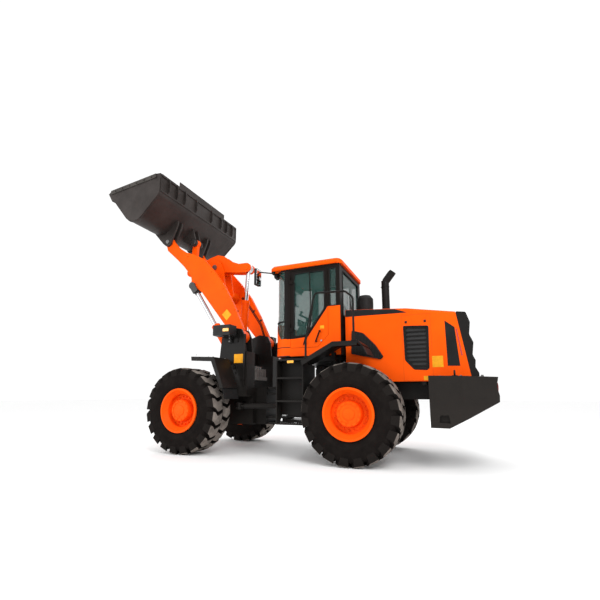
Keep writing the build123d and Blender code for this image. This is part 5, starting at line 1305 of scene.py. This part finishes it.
# Boom: the arms' outer face and where fittings on it and pipes beside it start
BOOM_SIDE = 0.583
FITTING_Y = 0.585
PIPE_Y = 0.508
CLAMP_Y = 0.496
label = [(1.247, 2.705), (1.133, 2.809), (1.023, 2.686), (1.135, 2.573)]
side_panel("boom_label", label, BOOM_SIDE, 0.5866, "label", "boom", 0.0, True)
bm = bmesh.new()
for along, off, r in ((0.0, 0.0, 0.095), (1.700, -0.165, 0.083)):
    p = boom_at(along, off, FITTING_Y)
    lathe(bm, [(r - 0.030, -0.002), (r, -0.002), (r, 0.008), (r - 0.006, 0.012), (r - 0.030, 0.012)], p,
          LEFT, 40)
for along, off in ((0.52, 0.235), (1.08, 0.335), (1.60, 0.352), (2.35, 0.150)):
    p = boom_at(along, off, FITTING_Y)
    solid_lathe(bm, [(0.012, 0.0), (0.012, 0.008), (0.006, 0.016), (0.004, 0.018)], p, LEFT, 6)
finish_pair("boom_bosses", bm, "orange", "boom", 0.001, 1)
for i, off in enumerate((0.215, 0.245)):
    line = [boom_at(a, o, PIPE_Y)
            for a, o in ((0.10, off - 0.19), (0.42, off - 0.06), (0.95, off), (1.28, off))]
    tube("boom_pipe_%d" % i, line, 0.009, "black", "boom", False, 0, True, 3)
clips = bmesh.new()
for a in (0.50, 0.80, 1.10):
    corners = ((a - 0.015, 0.19), (a + 0.015, 0.19), (a + 0.015, 0.27), (a - 0.015, 0.27))
    loop = [boom_at(along, off, CLAMP_Y) for along, off in corners]
    prism(clips, loop, (0, 0.020, 0))
finish_pair("boom_pipe_clamps", clips, "plastic", "boom", 0.002, 1, False)
bm = bmesh.new()
p = boom_at(1.933, 0.352, 0.0)
for s in (-1, 1):
    solid_lathe(bm, [(0.008, 0.0), (0.008, 0.008), (0.004, 0.014)], p + Vector((0, s * 0.176, 0)),
                (0, s, 0), 6)
finish_mesh("rocker_grease_points", bm, "steel", "boom")
# Cylinders
lift_way = Vector((0.5511, 0, 0.8345))
lift_foot = Vector((0.830, 0.55, 1.600))
side_way = Vector((-0.8345, 0, 0.5511))
bm = bmesh.new()
gland = lift_foot + lift_way * 1.020
lathe(bm, [(0.060, 0.0), (0.090, 0.0), (0.090, 0.036), (0.060, 0.036)], gland, lift_way, 40)
ring = finish_mesh("lift_gland_left", bm, "black", "lift_cylinder_left", 0.002, 1)
mirror_mesh(ring, "lift_gland_right", "lift_cylinder_right")
pipe = tube("lift_pipe_left", [lift_foot + lift_way * a + side_way * o
                               for a, o in ((0.16, 0.06), (0.16, 0.105), (0.96, 0.105), (0.96, 0.06))],
            0.011, "black", "lift_cylinder_left", False, 0, False, 3)
mirror_mesh(pipe, "lift_pipe_right", "lift_cylinder_right")
tilt_foot = Vector((1.113, 0.0, 2.100))
tilt_way = (Vector((0.986, 0.0, 3.839)) - tilt_foot).normalized()
tilt_side = Vector((-tilt_way.z, 0, tilt_way.x))
bm = bmesh.new()
lathe(bm, [(0.060, 0.0), (0.091, 0.0), (0.091, 0.036), (0.060, 0.036)], tilt_foot + tilt_way * 0.970,
      tilt_way, 40)
finish_mesh("tilt_gland", bm, "orange", "tilt_cylinder", 0.002, 1)
for i, y in enumerate((-0.05, 0.05)):
    o = Vector((0, y, 0))
    tube("tilt_pipe_%d" % i, [tilt_foot + tilt_way * a + tilt_side * b + o
                              for a, b in ((0.22, 0.05), (0.22, 0.098), (0.55 + 0.36 * i, 0.098),
                                           (0.55 + 0.36 * i, 0.05))], 0.010, "orange", "tilt_cylinder",
         False, 0, False, 3)
# Bucket
bm = bmesh.new()
for y in (-1.20, -0.72, -0.24, 0.24, 0.72, 1.20):
    bucket_prism(bm, [(0.54, -0.139), (1.14, -0.139), (1.14, -0.155), (0.56, -0.155)], y - 0.06, y + 0.06)
finish_mesh("bucket_wear_strips", bm, "bucket", "bucket", 0.003, 1, False)
bm = bmesh.new()
down = bucket_at(0, -1, 0) - bucket_at(0, 0, 0)
bolts(bm, [bucket_at(1.215, -0.175, -1.32 + 0.22 * i) for i in range(13)], down, 0.020, 0.016)
finish_mesh("edge_bolts", bm, "edge", "bucket")
low, high = Vector((1.378, -0.050)), Vector((0.640, 1.005))
run = high - low
inward = Vector((run.y, -run.x)).normalized()
if inward.x > 0:
    inward = -inward
bm = bmesh.new()
for i in range(6):
    q = low + run * (0.10 + 0.16 * i) + inward * 0.045
    bolts(bm, [bucket_at(q.x, q.y, 1.482)], LEFT, 0.018, 0.014)
finish_pair("cutter_bolts", bm, "edge", "bucket")
# Weld beads along the side plates, then a stiffener below the top edge
bead = ((1.26, -0.142), (0.55, -0.143), (0.36, -0.120), (0.215, -0.02), (0.185, 0.10), (0.205, 0.45),
        (0.222, 0.70), (0.250, 0.83), (0.330, 0.905), (0.545, 1.075))
tube("bucket_weld", [bucket_at(a, b, 1.440) for a, b in bead], 0.007, "bucket", "bucket", False, 1, True, 2)
knee, top = Vector((0.228, 0.800)), Vector((0.560, 1.085))
along = (top - knee).normalized()
out = Vector((-along.y, along.x))
bm = bmesh.new()
a, b = top - along * 0.055, top - along * 0.005
loop = [a + out * 0.002, b + out * 0.002, b + out * 0.020, a + out * 0.020]
bucket_prism(bm, [tuple(q) for q in loop], -1.43, 1.43)
a, b = knee + along * 0.04, knee + along * 0.075
loop = [a + out * 0.001, b + out * 0.001, b + out * 0.014, a + out * 0.014]
bucket_prism(bm, [tuple(q) for q in loop], -1.43, 1.43)
finish_mesh("bucket_stiffeners", bm, "bucket", "bucket", 0.003, 1, False)

# Floor and light
bm = bmesh.new()
FLOOR_REACH = 60.0
bmesh.ops.create_grid(bm, x_segments=1, y_segments=1, size=FLOOR_REACH)
floor_mesh = bpy.data.meshes.new("floor")
bm.to_mesh(floor_mesh)
bm.free()
floor = bpy.data.objects.new("floor", floor_mesh)
bpy.context.scene.collection.objects.link(floor)
m, tree, shader = new_material("floor_paint")
shader.inputs["Base Color"].default_value = (0.93, 0.93, 0.93, 1.0)
shader.inputs["Roughness"].default_value = 0.9
floor_mesh.materials.append(m)

world = bpy.data.worlds.new("studio")
bpy.context.scene.world = world
world.use_nodes = True
world.node_tree.nodes["Background"].inputs["Color"].default_value = (1.0, 1.0, 1.0, 1.0)
world.node_tree.nodes["Background"].inputs["Strength"].default_value = 1.05


def area(name, place_at, aim, size, power):
    data = bpy.data.lights.new(name, "AREA")
    data.energy = power
    data.shape = "RECTANGLE"
    data.size = size[0]
    data.size_y = size[1]
    obj = bpy.data.objects.new(name, data)
    bpy.context.scene.collection.objects.link(obj)
    obj.location = place_at
    way = Vector(aim) - Vector(place_at)
    obj.rotation_euler = way.to_track_quat("-Z", "Y").to_euler()
    return obj


area("key", (-7.0, 8.5, 9.0), (0, 0, 1.6), (6, 6), 850)
area("fill", (8.0, 9.0, 4.0), (0.5, 0, 2.0), (6, 5), 350)
area("back", (2.0, -9.0, 7.0), (0, 0, 2.0), (7, 5), 350)
